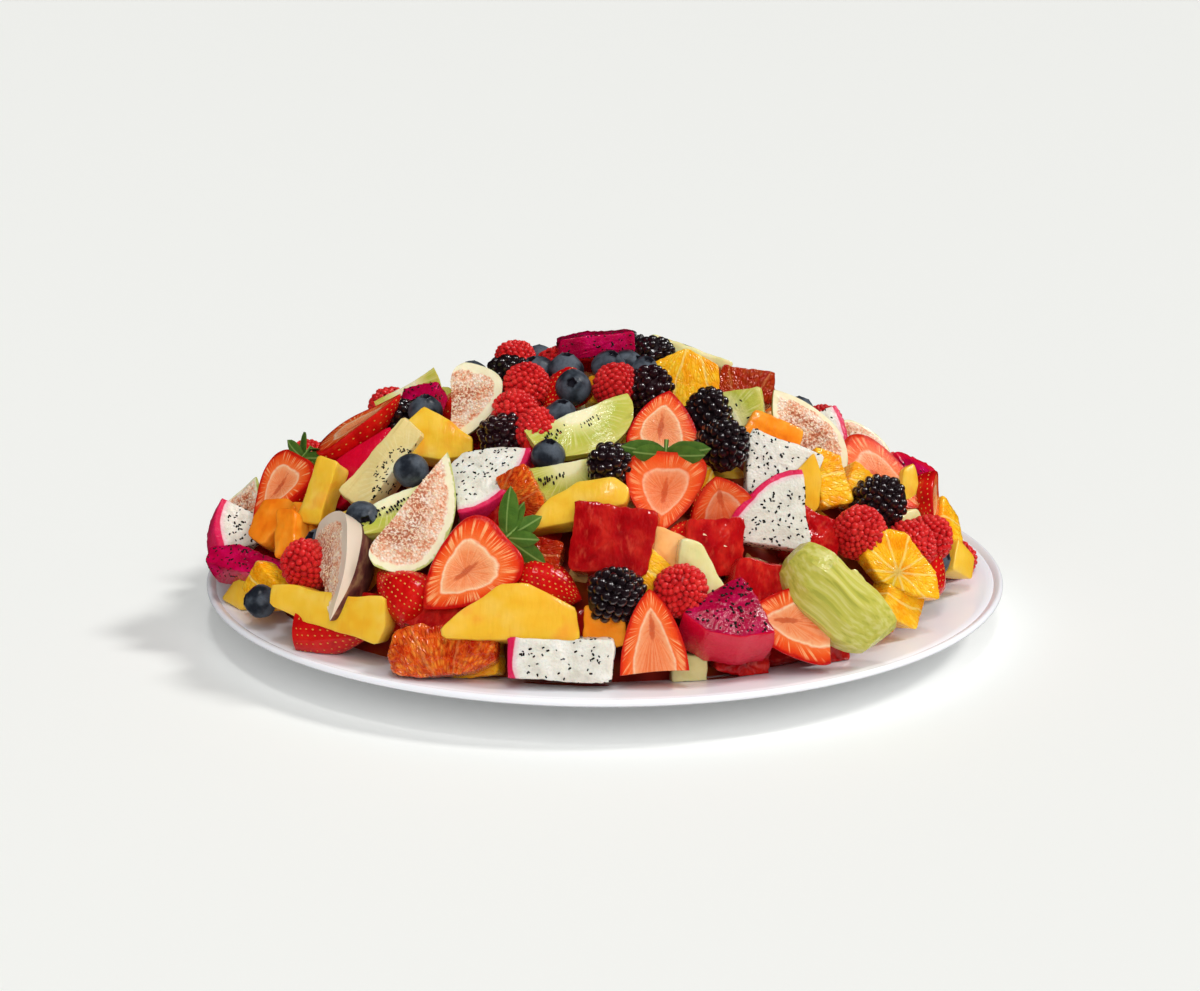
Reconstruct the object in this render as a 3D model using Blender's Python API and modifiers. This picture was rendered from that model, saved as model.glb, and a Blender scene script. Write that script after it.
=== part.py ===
"""A fruit salad heaped on a round white serving plate.

Two solids, in metres with +Z up: the turned plate, and the heap of cut fruit and berries that lies in it.
The origin is on the table under the plate's centre, the heap's broad side faces -Y.
"""

import math
import random

import bmesh
import bpy
from mathutils import Euler, Matrix, Vector

# The plate, a shallow round platter on a foot ring.
PLATE_RADIUS = 0.200
RIM_HEIGHT = 0.022
RIM_EDGE = 0.0032
LIP_WIDTH = 0.0050
LIP_START = 0.75
LIP_RISE = 0.0010
LIP_ARC = (110, -60)
LIP_UNDERCUT = 0.0018
SLOPE_TOP = 0.0205
SLOPE_RADIUS = 0.150
SLOPE_CURVE = 0.6
SLOPE_UNDER_STEP = 0.004
FLOOR_HEIGHT = 0.0125
FLOOR_SHARES = (0, 0.6, 0.97)
WALL = 0.0032
FOOT_OUTER_RADIUS = 0.134
FOOT_WIDTH = 0.0050
FOOT_DRAFT = 0.002
CENTRE_THICKER = 0.001
PLATE_STEPS = 84

# The heap, an oval dome with a steep edge.
HEAP_CENTRE_X = -0.005
HEAP_HALF_WIDTH = 0.193
HEAP_HALF_DEPTH = 0.178
HEAP_HEIGHT = 0.124
DOME_INNER_POWER = 1.3
DOME_OUTER_POWER = 0.54
CORE_INSET = 0.013
CORE_RINGS = 8
CORE_SPOKES = 24
HEAP_GAP = 0.0003
SLIVER = 0.00002

# The pieces of fruit that make the heap's outline uneven.
PIECE_COUNT = 168
PIECE_SPREAD = 0.965
PIECE_SINK = 0.007
PIECE_SINK_RANGE = 0.006
PIECE_LEAN = 0.5
GOLDEN_ANGLE = math.pi * (3 - math.sqrt(5))
BERRY_RADIUS = (0.0090, 0.0125)
CHUNK_SIZE = Vector((0.034, 0.027, 0.020))
CHUNK_SHARE = (0.8, 1.15)
LONG_PIECE_SHARE = (0.8, 1.1)
WEDGE_LENGTH = 0.044
WEDGE_RADIUS = 0.021
WEDGE_TAPER = 0.8
HALF_FRUIT_LENGTH = 0.040
HALF_FRUIT_RADIUS = 0.018
HALF_FRUIT_TIP = 0.004
HALF_FRUIT_FLATNESS = 0.75
SEED = 15

# How far the space under the plate's inner face reaches past the plate, and below the table.
CUTTER_MARGIN = 0.02
CUTTER_LIP_RISE = 0.0006

PLATE_COLOUR = (0.88, 0.88, 0.90, 1)
FRUIT_COLOUR = (0.72, 0.12, 0.06, 1)


def clear_scene():
    for old in list(bpy.data.objects):
        bpy.data.objects.remove(old)


def new_collection(name):
    made = bpy.data.collections.new(name)
    bpy.context.scene.collection.children.link(made)
    return made


def make_material(name, colour, roughness):
    material = bpy.data.materials.new(name)
    material.use_nodes = True
    shader = material.node_tree.nodes["Principled BSDF"]
    shader.inputs["Base Color"].default_value = colour
    shader.inputs["Roughness"].default_value = roughness
    shader.inputs["Metallic"].default_value = 0
    return material


def arc(centre, radius, start, end, steps):
    """Points (radius, height) on an arc, from angle start to end in degrees."""
    points = []
    for i in range(steps + 1):
        angle = math.radians(start + (end - start) * i / steps)
        points.append((centre[0] + radius * math.cos(angle), centre[1] + radius * math.sin(angle)))
    return points


def slope_height(radius):
    """Height of the plate's inner face, level to SLOPE_RADIUS and rising in a soft curve to the lip."""
    lip = PLATE_RADIUS - LIP_WIDTH
    t = min(max((radius - SLOPE_RADIUS) / (lip - SLOPE_RADIUS), 0), 1)
    return FLOOR_HEIGHT + (SLOPE_TOP - FLOOR_HEIGHT) * t * (1 + SLOPE_CURVE - SLOPE_CURVE * t)


def inner_face(steps=5):
    """Points of the plate's inner face, from the axis out to the lip."""
    points = [(SLOPE_RADIUS * share, FLOOR_HEIGHT) for share in FLOOR_SHARES]
    lip = PLATE_RADIUS - LIP_WIDTH
    for i in range(steps + 1):
        radius = SLOPE_RADIUS + (lip - SLOPE_RADIUS) * i / steps
        points.append((radius, slope_height(radius)))
    return points


def turned_solid(name, profile, steps, collection):
    """A solid of revolution about Z from a profile of (radius, height) that starts and ends on the axis."""
    mesh = bpy.data.meshes.new(name)
    edges = [(i, i + 1) for i in range(len(profile) - 1)]
    mesh.from_pydata([(radius, 0, height) for radius, height in profile], edges, [])
    turned = bpy.data.objects.new(name, mesh)
    collection.objects.link(turned)
    screw = turned.modifiers.new("Turn", "SCREW")
    screw.steps = screw.render_steps = steps
    screw.use_merge_vertices = True
    screw.merge_threshold = 0.00001
    screw.use_smooth_shade = True
    return turned


def make_plate(collection):
    """The platter: floor, sloping side, rolled lip, underside and foot ring."""
    lip_radius = RIM_EDGE / 2
    lip_centre = (PLATE_RADIUS - lip_radius, RIM_HEIGHT - lip_radius)
    foot_inner = FOOT_OUTER_RADIUS - FOOT_WIDTH
    under_floor = FLOOR_HEIGHT - WALL
    under_centre = under_floor - CENTRE_THICKER
    profile = inner_face()
    profile += [(PLATE_RADIUS - LIP_WIDTH * LIP_START, SLOPE_TOP + LIP_RISE)]
    profile += arc(lip_centre, lip_radius, *LIP_ARC, 5)
    profile += [(PLATE_RADIUS - LIP_WIDTH, RIM_HEIGHT - RIM_EDGE - LIP_UNDERCUT)]
    profile += [(SLOPE_RADIUS + SLOPE_UNDER_STEP, under_floor)]
    profile += [(FOOT_OUTER_RADIUS + FOOT_DRAFT, under_floor), (FOOT_OUTER_RADIUS, 0)]
    profile += [(foot_inner, 0), (foot_inner - FOOT_DRAFT, under_centre)]
    profile += [(0, under_centre)]
    plate = turned_solid("plate", profile, PLATE_STEPS, collection)
    plate.data.materials.append(make_material("plate_white", PLATE_COLOUR, 0.25))
    return plate


def heap_height(x, y, inset=0.0):
    """Height of the heap's outer dome over a point of the plate, or of a dome that lies inset inside it."""
    across = (x - HEAP_CENTRE_X) / (HEAP_HALF_WIDTH - inset)
    deep = y / (HEAP_HALF_DEPTH - inset)
    out = min(math.hypot(across, deep), 1)
    rise = (1 - out**DOME_INNER_POWER) ** DOME_OUTER_POWER
    return FLOOR_HEIGHT + (HEAP_HEIGHT - inset) * rise


def heap_normal(x, y):
    """Outward direction of the dome at a point, from small steps across it."""
    step = 0.002
    slope_x = (heap_height(x + step, y) - heap_height(x - step, y)) / (2 * step)
    slope_y = (heap_height(x, y + step) - heap_height(x, y - step)) / (2 * step)
    return Vector((-slope_x, -slope_y, 1)).normalized()


def add_core(mesh):
    """The dome under the outer pieces, closed by a flat base."""
    width, depth = HEAP_HALF_WIDTH - CORE_INSET, HEAP_HALF_DEPTH - CORE_INSET
    outlines = []
    for ring in range(1, CORE_RINGS + 1):
        share = ring / CORE_RINGS
        around = []
        for spoke in range(CORE_SPOKES):
            angle = 2 * math.pi * spoke / CORE_SPOKES
            x = HEAP_CENTRE_X + width * share * math.cos(angle)
            y = depth * share * math.sin(angle)
            around.append(mesh.verts.new((x, y, heap_height(x, y, CORE_INSET))))
        outlines.append(around)
    top = mesh.verts.new((HEAP_CENTRE_X, 0, heap_height(HEAP_CENTRE_X, 0, CORE_INSET)))
    for spoke in range(CORE_SPOKES):
        after = (spoke + 1) % CORE_SPOKES
        mesh.faces.new((top, outlines[0][spoke], outlines[0][after]))
        for inner, outer in zip(outlines, outlines[1:]):
            mesh.faces.new((inner[spoke], outer[spoke], outer[after], inner[after]))
    mesh.faces.new(reversed(outlines[-1]))


def add_berry(mesh, place, chance):
    radius = chance.uniform(*BERRY_RADIUS)
    bmesh.ops.create_icosphere(mesh, subdivisions=1, radius=radius, matrix=place)


def add_chunk(mesh, place, chance):
    size = Matrix.Diagonal((*(CHUNK_SIZE * chance.uniform(*CHUNK_SHARE)), 1))
    bmesh.ops.create_cube(mesh, size=1, matrix=place @ size)


def add_wedge(mesh, place, chance):
    """A quarter slice of a round fruit: a short three-sided prism with its ridge outwards."""
    length = WEDGE_LENGTH * chance.uniform(*LONG_PIECE_SHARE)
    along = Matrix.Rotation(math.pi / 2, 4, "X")
    bmesh.ops.create_cone(
        mesh, cap_ends=True, segments=3, radius1=WEDGE_RADIUS, radius2=WEDGE_RADIUS * WEDGE_TAPER,
        depth=length, matrix=place @ along,
    )


def add_half_fruit(mesh, place, chance):
    """Half a berry or fig: a cone with a round shoulder, pointing along the dome."""
    length = HALF_FRUIT_LENGTH * chance.uniform(*LONG_PIECE_SHARE)
    along = Matrix.Rotation(math.pi / 2, 4, "X") @ Matrix.Diagonal((1, HALF_FRUIT_FLATNESS, 1, 1))
    bmesh.ops.create_cone(
        mesh, cap_ends=True, segments=8, radius1=HALF_FRUIT_RADIUS, radius2=HALF_FRUIT_TIP,
        depth=length, matrix=place @ along,
    )


def add_pieces(mesh):
    """The outer pieces, spread evenly over the dome on a sunflower spiral, each turned and leaned by chance."""
    chance = random.Random(SEED)
    shapes = (add_chunk, add_berry, add_wedge, add_half_fruit, add_chunk, add_berry)
    for number in range(PIECE_COUNT):
        share = math.sqrt((number + 0.5) / PIECE_COUNT) * PIECE_SPREAD
        angle = number * GOLDEN_ANGLE
        x = HEAP_CENTRE_X + HEAP_HALF_WIDTH * share * math.cos(angle)
        y = HEAP_HALF_DEPTH * share * math.sin(angle)
        normal = heap_normal(x, y)
        sink = PIECE_SINK + chance.uniform(0, PIECE_SINK_RANGE)
        centre = Vector((x, y, heap_height(x, y))) - normal * sink
        facing = normal.to_track_quat("Z", "Y").to_matrix().to_4x4()
        lean = chance.uniform(-PIECE_LEAN, PIECE_LEAN)
        roll = chance.uniform(-PIECE_LEAN, PIECE_LEAN)
        turn = Euler((lean, roll, chance.uniform(0, 2 * math.pi))).to_matrix().to_4x4()
        place = Matrix.Translation(centre) @ facing @ turn
        shapes[number % len(shapes)](mesh, place, chance)


def make_dish_cutter(collection):
    """The space at and under the plate's inner face, raised by the gap that the heap keeps to it."""
    reach = PLATE_RADIUS + CUTTER_MARGIN
    top = [(radius, height + HEAP_GAP) for radius, height in inner_face()]
    lip_top = RIM_HEIGHT + HEAP_GAP
    outer_top = lip_top + CUTTER_LIP_RISE
    profile = top + [(PLATE_RADIUS - LIP_WIDTH * LIP_START, lip_top), (PLATE_RADIUS, outer_top)]
    profile += [(reach, outer_top), (reach, -CUTTER_MARGIN), (0, -CUTTER_MARGIN)]
    cutter = turned_solid("dish_cutter", profile, PLATE_STEPS, collection)
    cutter.display_type = "WIRE"
    cutter.hide_render = True
    return cutter


def solid_of(name, fill, collection):
    """A mesh object whose faces a function adds to an empty mesh."""
    shell = bmesh.new()
    fill(shell)
    data = bpy.data.meshes.new(name)
    shell.to_mesh(data)
    shell.free()
    made = bpy.data.objects.new(name, data)
    collection.objects.link(made)
    return made


def keep_outer_shell(mesh):
    """Deletes the small sealed pockets between pieces, and leaves the one shell with the most corners."""
    shell = bmesh.new()
    shell.from_mesh(mesh)
    bmesh.ops.dissolve_degenerate(shell, dist=SLIVER, edges=shell.edges)
    left = set(shell.verts)
    groups = []
    while left:
        waiting = [left.pop()]
        group = []
        while waiting:
            corner = waiting.pop()
            group.append(corner)
            near = {edge.other_vert(corner) for edge in corner.link_edges} & left
            left -= near
            waiting.extend(near)
        groups.append(group)
    groups.sort(key=len)
    for group in groups[:-1]:
        bmesh.ops.delete(shell, geom=group, context="VERTS")
    shell.to_mesh(mesh)
    shell.free()


def make_heap(collection, cutters):
    """All the fruit as one solid: the dome joined with its outer pieces, and cut to the plate."""
    pieces = solid_of("outer_pieces", add_pieces, cutters)
    pieces.display_type = "WIRE"
    pieces.hide_render = True
    heap = solid_of("fruit_heap", add_core, collection)
    join = heap.modifiers.new("Join the pieces", "BOOLEAN")
    join.operation = "UNION"
    join.use_self = True
    join.object = pieces
    fit = heap.modifiers.new("Fit the plate", "BOOLEAN")
    fit.operation = "DIFFERENCE"
    fit.object = make_dish_cutter(cutters)
    graph = bpy.context.evaluated_depsgraph_get()
    joined = bpy.data.meshes.new_from_object(heap.evaluated_get(graph))
    heap.modifiers.clear()
    heap.data = joined
    keep_outer_shell(joined)
    joined.materials.append(make_material("fruit_mixed", FRUIT_COLOUR, 0.35))
    return heap


def main():
    clear_scene()
    parts = new_collection("fruit_salad")
    cutters = new_collection("cutters")
    make_plate(parts)
    make_heap(parts, cutters)


main()
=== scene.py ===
"""Looks of a fruit salad heaped on a round white plate.

Over a moist core, coloured dark partly as painted shade for the deep gaps, lie real pieces of fruit: those on the side
that faces -Y are placed one by one, and seeded random ones fill the gaps, the layer below, the sides and the back.
Each kind of fruit is one mesh.
Its points carry three attributes, which the materials read: "place", where the point lies in its whole
fruit, in metres; "ring", how far out it lies on a cut face, from 0 to 1; and "tone", one number a piece.
"""

import math

import bmesh
import bpy
import numpy as np
from mathutils import Matrix, Vector


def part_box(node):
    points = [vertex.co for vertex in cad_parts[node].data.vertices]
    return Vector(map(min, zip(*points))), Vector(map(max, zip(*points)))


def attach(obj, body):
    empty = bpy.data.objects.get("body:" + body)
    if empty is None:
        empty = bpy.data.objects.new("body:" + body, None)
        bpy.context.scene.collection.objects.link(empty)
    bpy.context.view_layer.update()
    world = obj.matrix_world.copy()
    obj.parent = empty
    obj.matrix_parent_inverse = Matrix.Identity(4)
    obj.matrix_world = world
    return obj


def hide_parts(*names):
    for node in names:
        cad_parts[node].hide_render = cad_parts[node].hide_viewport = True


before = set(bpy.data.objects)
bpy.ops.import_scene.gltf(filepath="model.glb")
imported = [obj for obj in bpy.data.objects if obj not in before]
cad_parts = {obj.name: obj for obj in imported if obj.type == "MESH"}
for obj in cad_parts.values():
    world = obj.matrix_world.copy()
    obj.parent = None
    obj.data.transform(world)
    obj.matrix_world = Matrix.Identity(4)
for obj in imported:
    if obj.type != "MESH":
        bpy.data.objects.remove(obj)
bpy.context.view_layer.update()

MM = 0.001
GOLDEN_ANGLE = math.pi * (3 - math.sqrt(5))

# The plate, from the frame's box and the CAD's own sizes.
PLATE_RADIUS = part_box("plate")[1].x
RIM_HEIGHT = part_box("plate")[1].z
FLOOR_HEIGHT = 0.0125
KIWI_HALF_SIZE = np.array([0.024, 0.031, 0.024])
KIWI_TAPER = 1.18
BACK_SLOPE = 0.095
SLOPE_TOP = 0.0205
SLOPE_RADIUS = 0.150
LIP_WIDTH = 0.0050
RIM_EDGE = 0.0032
WALL = 0.0032
FOOT_OUTER_RADIUS = 0.134
FOOT_WIDTH = 0.0050
PLATE_STEPS = 256
PLATE_GAP = 0.0003

# The heap's dome, as in the CAD.
HEAP_CENTRE_X = -0.005
HEAP_HALF_WIDTH = 0.193
HEAP_HALF_DEPTH = 0.178
HEAP_HEIGHT = 0.124
DOME_INNER_POWER = 1.3
DOME_OUTER_POWER = 0.54
CORE_INSET = 0.026

# The camera, on the photograph's angle.
CAMERA_PLACE = (0.0, -1.147, 0.375)
CAMERA_DOWN = 15.47
CAMERA_LEFT = 0.12
CAMERA_LENS = 70.75
VIEW_UP = Vector((0, 0.6, 0.8))

# On the side that faces -Y, up to the ridge, chance pieces stay some millimetres lower than those placed one by one.
RIDGE = 0.045
FRONT_SINK = 6

rng = np.random.default_rng(21)


# ---------------------------------------------------------------- shapes


class Form:
    """A surface: points, quads, the material number of each quad, and what the attributes say."""

    def __init__(self, points, faces, zones, rings):
        self.points = points
        self.faces = faces
        self.zones = zones
        self.rings = rings
        self.place = points.copy()

    def centred(self, middle):
        """The same form with middle at its origin; its place in the whole fruit stays."""
        self.points = self.points - np.array(middle)
        return self


def loft(rings, zones, shares=None):
    """A surface through rings of equally many points, which run anticlockwise seen from the first one."""
    count = len(rings[0])
    here = np.arange(count)
    there = np.roll(here, -1)
    faces = []
    for k in range(len(rings) - 1):
        inner, outer = k * count, (k + 1) * count
        faces.append(np.stack([here + inner, here + outer, there + outer, there + inner], 1))
    if shares is None:
        shares = np.ones(len(rings))
    return Form(
        np.concatenate(rings),
        np.concatenate(faces),
        np.repeat(zones, count),
        np.repeat(shares, count),
    )


def join(forms):
    """Several forms as one."""
    starts = np.cumsum([0] + [len(form.points) for form in forms[:-1]])
    joined = Form(
        np.concatenate([form.points for form in forms]),
        np.concatenate([form.faces + start for form, start in zip(forms, starts)]),
        np.concatenate([form.zones for form in forms]),
        np.concatenate([form.rings for form in forms]),
    )
    joined.place = np.concatenate([form.place for form in forms])
    return joined


def at_height(loop, height):
    return np.column_stack([loop, np.full(len(loop), height)])


def rounded(corners, rounding=2.5, count=56):
    """A closed curve of evenly spaced points through corners given in millimetres, with its corners rounded."""
    loop = np.array(list(corners) + [corners[0]], float) * MM
    lengths = np.linalg.norm(np.diff(loop, axis=0), axis=1)
    along = np.concatenate([[0], np.cumsum(lengths)])
    at = np.linspace(0, along[-1], count * 4, endpoint=False)
    dense = np.stack([np.interp(at, along, loop[:, i]) for i in (0, 1)], 1)
    reach = max(1, round(rounding * MM / (along[-1] / len(dense))))
    turned = [np.roll(dense, step, axis=0) for step in range(-reach, reach + 1)]
    return np.mean(turned, axis=0)[::4]


def uneven_loop(width, height, corners, generator):
    """A convex outline with this many corners on an oval, unevenly spaced."""
    turn = generator.uniform(0, 2 * math.pi)
    jitter = generator.uniform(-0.28, 0.28, corners)
    angles = turn + (np.arange(corners) + jitter) * 2 * math.pi / corners
    return [(width / 2 * math.cos(a), height / 2 * math.sin(a)) for a in angles]


def sector(radius, start, end, inner=0, steps=9):
    """Corners, in millimetres, of a slice of a round fruit between two angles, outside a chord near its middle."""
    angles = np.radians(np.linspace(start, end, steps))
    corners = [(radius * math.cos(a), radius * math.sin(a)) for a in angles]
    if inner:
        corners.append((inner * math.cos(angles[-1]), inner * math.sin(angles[-1])))
        corners.append((inner * math.cos(angles[0]), inner * math.sin(angles[0])))
    else:
        corners.append((0, 0))
    return corners


def slab(front, depth, back=None, crown=0.0, edge=0.8, bulge=0.0, face_rings=6, side_rows=3):
    """A cut piece: a front outline, a back outline at -depth, a side between them and rounded edges."""
    back = front if back is None else back
    middle, back_middle = front.mean(0), back.mean(0)
    edge = edge * MM
    soft = edge / np.linalg.norm(front - middle, axis=1).mean()
    rings, zones, shares = [], [], []

    def add(loop, centre, share, height, zone):
        rings.append(at_height(centre + (loop - centre) * share, height))
        shares.append(min(share, 1))
        zones.append(zone)

    for share in np.linspace(0, 1, face_rings + 1):
        add(front, middle, share * (1 - soft), crown * (1 - share**2), 0)
    add(front, middle, 1 - 0.3 * soft, -0.3 * edge, 0)
    for t in np.linspace(0, 1, side_rows + 1):
        loop = front + (back - front) * t
        centre = middle + (back_middle - middle) * t
        add(loop, centre, 1 + bulge * math.sin(math.pi * t), -edge - (depth - 2 * edge) * t, 1)
    zones[-1] = 0
    add(back, back_middle, 1 - 0.3 * soft, -depth + 0.3 * edge, 0)
    for share in (1, 0.6, 0):
        add(back, back_middle, share * (1 - soft), -depth, 0)
    return loft(rings, zones[:-1], shares)


def split(radii, heights, depth=1.0, face_rings=7, skin_rows=12, edge=0.4, hollow=0.0):
    """A fruit halved along its stem axis, which is Y: a cut face at Z = 0 and the skin behind it."""
    left = np.stack([-radii, heights], 1)
    right = np.stack([radii, heights], 1)[-2:0:-1]
    outline = np.concatenate([left, right])
    middle = np.array([0, heights.mean()])
    edge = edge * MM
    rings, zones, shares = [], [], []
    for share in np.linspace(0, 1, face_rings + 1):
        sunk = -hollow * max(0, 1 - (share / 0.45) ** 2)
        rings.append(at_height(middle + (outline - middle) * share * 0.985, sunk))
        zones.append(0)
        shares.append(share * 0.985)
    zones[-1] = 1
    for turn in np.linspace(0, math.pi / 2, skin_rows + 1):
        x = outline[:, 0]
        behind = -edge - np.abs(x) * math.sin(turn) * depth
        rings.append(np.column_stack([x * math.cos(turn), outline[:, 1], behind]))
        zones.append(1)
        shares.append(1)
    return loft(rings, zones[:-1], shares)


def wedge(radii, heights, angle, face_steps=8, arc_steps=7, facets=0):
    """A wedge cut from a turned fruit along its axis, which is Y: cut face at Z = 0 on the side of +X, peel behind.

    With facets, the outside is flat in as many strokes, as a knife leaves it.
    """
    shares = np.linspace(0, 1, face_steps + 1)
    turns = np.linspace(0, math.radians(angle), arc_steps + 1)[1:]
    stroke = turns[-1] / max(facets, 1)
    full = np.cos(stroke / 2) / np.cos(turns % stroke - stroke / 2) if facets else np.ones(arc_steps)
    back = shares[-2:0:-1]
    across = np.concatenate([shares, full * np.cos(turns), back * math.cos(turns[-1])])
    behind = np.concatenate([shares * 0, full * np.sin(turns), back * math.sin(turns[-1])])
    ring = np.concatenate([shares, turns * 0 + 1, back])
    outer = np.concatenate([shares * 0, turns * 0 + 1, back * 0])
    loops = [np.column_stack([across * r, np.full(len(across), h), -behind * r]) for r, h in zip(radii, heights)]
    caps = []
    for loop in (loops[0], loops[-1]):
        middle = loop.mean(0)
        caps.append([middle + (loop - middle) * share for share in (0, 0.5)])
    rings = caps[0] + loops + caps[1][::-1]
    form = loft(rings, [0] * (len(rings) - 1))
    form.rings = np.tile(ring, len(rings))
    form.zones = np.tile(np.minimum(outer, np.roll(outer, -1)), len(rings) - 1)
    return form


def skin_rings(form, radii, heights, reach):
    """Says for each point how near the skin of a turned fruit it lies: 0 at reach below it, 1 at the skin."""
    across = np.hypot(form.place[:, 0], form.place[:, 2])
    gaps = np.hypot(across[:, None] - radii, form.place[:, 1][:, None] - heights).min(1)
    form.rings = np.clip(1 - gaps / reach, 0, 1)


def turned(radii, heights, steps, zone=0):
    """A surface of revolution about Z, from its top pole down to its bottom pole."""
    angles = np.arange(steps) * 2 * math.pi / steps
    circle = np.column_stack([np.cos(angles), np.sin(angles)])
    rings = [at_height(circle * radius, height) for radius, height in zip(radii, heights)]
    return loft(rings, [zone] * (len(rings) - 1))


def bean(length, width, thickness, steps=6):
    """A small seed: an oval body along Y, with few faces."""
    angles = np.radians([0, 55, 125, 180])
    body = turned(np.sin(angles), np.cos(angles), steps)
    points = body.points[:, [0, 2, 1]] * np.array([width, length, -thickness]) / 2
    body.points = points
    body.place = points.copy()
    return body


def waves(points, size, generator, count=6):
    """Smooth noise at each point, about -1 to 1, from sine waves about size long."""
    total = np.zeros(len(points))
    for _ in range(count):
        way = generator.normal(size=3)
        way *= 2 * math.pi / (size * np.linalg.norm(way)) * generator.uniform(0.7, 1.4)
        total += np.sin(points @ way + generator.uniform(0, 2 * math.pi))
    return total / math.sqrt(count)


def bend(form, amount, size, generator):
    """Pushes a form's points about smoothly, as no two pieces of fruit are alike."""
    pushes = [waves(form.points, size, generator, 4) for _ in range(3)]
    form.points = form.points + amount * np.stack(pushes, 1)
    return form


def roughen(form, amount, size, generator, zones=(0, 1)):
    """Gives the named zones a fine relief along their normals."""
    normals = point_normals(form)
    touched = np.zeros(len(form.points), bool)
    chosen = np.isin(form.zones, zones)
    touched[form.faces[chosen].ravel()] = True
    heights = waves(form.points, size, generator, 9) * touched
    form.points = form.points + normals * (heights * amount)[:, None]
    return form


def face_frames(form):
    """Middle, normal and area of each face."""
    corners = form.points[form.faces]
    crosses = np.cross(corners[:, 2] - corners[:, 0], corners[:, 3] - corners[:, 1])
    double = np.linalg.norm(crosses, axis=1)
    normals = crosses / np.maximum(double, 1e-12)[:, None]
    return corners, normals, double / 2


def point_normals(form):
    _, normals, areas = face_frames(form)
    sums = np.zeros_like(form.points)
    for corner in range(4):
        np.add.at(sums, form.faces[:, corner], normals * areas[:, None])
    return sums / np.maximum(np.linalg.norm(sums, axis=1), 1e-12)[:, None]


def scatter(form, count, generator, zones=(0, 1), accept=None):
    """Random points, evenly spread over the named zones, with the surface's direction there."""
    corners, normals, areas = face_frames(form)
    areas = areas * np.isin(form.zones, zones)
    chosen = generator.choice(len(areas), size=count, p=areas / areas.sum())
    u, v = generator.uniform(size=(2, count, 1))
    a, b, c, d = (corners[chosen, i] for i in range(4))
    points = (a * (1 - u) + b * u) * (1 - v) + (d * (1 - u) + c * u) * v
    keep = np.ones(count, bool) if accept is None else accept(points, form)
    return points[keep], normals[chosen][keep]


def lay_on(template, points, normals, generator, sink=0.0, sizes=(0.85, 1.15), ways=None):
    """Copies of a small form, each flat on the surface at one of the points."""
    copies = []
    for i, (point, normal) in enumerate(zip(points, normals)):
        guide = generator.normal(size=3) if ways is None else ways[i]
        side = np.cross(guide, normal)
        side /= max(np.linalg.norm(side), 1e-9)
        along = np.cross(normal, side)
        turn = np.stack([side, along, normal])
        size = generator.uniform(*sizes)
        copy = Form(template.points @ turn * size + point - normal * sink, template.faces, template.zones, template.rings)
        copies.append(copy)
    return join(copies)


# ---------------------------------------------------------------- gathering pieces


class Kind:
    """All the pieces of one kind, gathered into one mesh that rides on the plate's body."""

    made = {}

    def __init__(self, name, slot, *finishes, sharp=50):
        self.name = name
        self.slot = slot
        self.finishes = finishes
        self.sharp = sharp
        self.forms = []
        self.tones = []
        Kind.made[name] = self

    def add(self, form, matrix=None, tone=None):
        if matrix is not None:
            turn = np.array(matrix.to_3x3())
            form.points = form.points @ turn.T + np.array(matrix.translation)
            keep_above_plate(form.points)
        self.forms.append(form)
        self.tones.append(rng.uniform() if tone is None else tone)

    def build(self):
        whole = join(self.forms)
        tones = np.concatenate([np.full(len(f.points), t) for f, t in zip(self.forms, self.tones)])
        mesh = bpy.data.meshes.new(self.name)
        mesh.vertices.add(len(whole.points))
        mesh.vertices.foreach_set("co", whole.points.ravel())
        mesh.loops.add(whole.faces.size)
        mesh.loops.foreach_set("vertex_index", whole.faces.ravel())
        mesh.polygons.add(len(whole.faces))
        mesh.polygons.foreach_set("loop_start", np.arange(0, whole.faces.size, 4))
        mesh.polygons.foreach_set("material_index", whole.zones.astype(np.int32))
        mesh.update(calc_edges=True)
        mesh.attributes.new("place", "FLOAT_VECTOR", "POINT").data.foreach_set("vector", whole.place.ravel())
        mesh.attributes.new("ring", "FLOAT", "POINT").data.foreach_set("value", whole.rings)
        mesh.attributes.new("tone", "FLOAT", "POINT").data.foreach_set("value", tones)
        for finish in self.finishes:
            mesh.materials.append(finish)
        weld(mesh, self.sharp)
        piece = bpy.data.objects.new(self.name, mesh)
        bpy.context.scene.collection.objects.link(piece)
        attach(piece, "root")
        return piece


def plate_height(radius):
    """Height of the plate's inner face, level to SLOPE_RADIUS and rising in a soft curve to the lip."""
    lip = PLATE_RADIUS - LIP_WIDTH
    t = np.clip((radius - SLOPE_RADIUS) / (lip - SLOPE_RADIUS), 0, 1)
    return FLOOR_HEIGHT + (SLOPE_TOP - FLOOR_HEIGHT) * t * (1.6 - 0.6 * t)


def keep_above_plate(points):
    """Presses what would go into the plate flat on it, as fruit lies on its dish."""
    out = np.hypot(points[:, 0], points[:, 1])
    lowest = np.where(out > PLATE_RADIUS - LIP_WIDTH, RIM_HEIGHT, plate_height(out)) + PLATE_GAP
    np.maximum(points[:, 2], lowest, out=points[:, 2])


def weld(mesh, sharp):
    """Joins the doubled points at poles and seams, and shades all but the sharp edges smooth."""
    work = bmesh.new()
    work.from_mesh(mesh)
    bmesh.ops.remove_doubles(work, verts=work.verts, dist=1e-6)
    work.to_mesh(mesh)
    work.free()
    mesh.shade_smooth()
    mesh.set_sharp_from_angle(angle=math.radians(sharp))


# ---------------------------------------------------------------- materials


def rgb(red, green, blue):
    """A colour as a screen shows it, 0 to 255, as linear values."""
    shares = [value / 255 for value in (red, green, blue)]
    linear = [s / 12.92 if s <= 0.04045 else ((s + 0.055) / 1.055) ** 2.4 for s in shares]
    return (*linear, 1)


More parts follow.
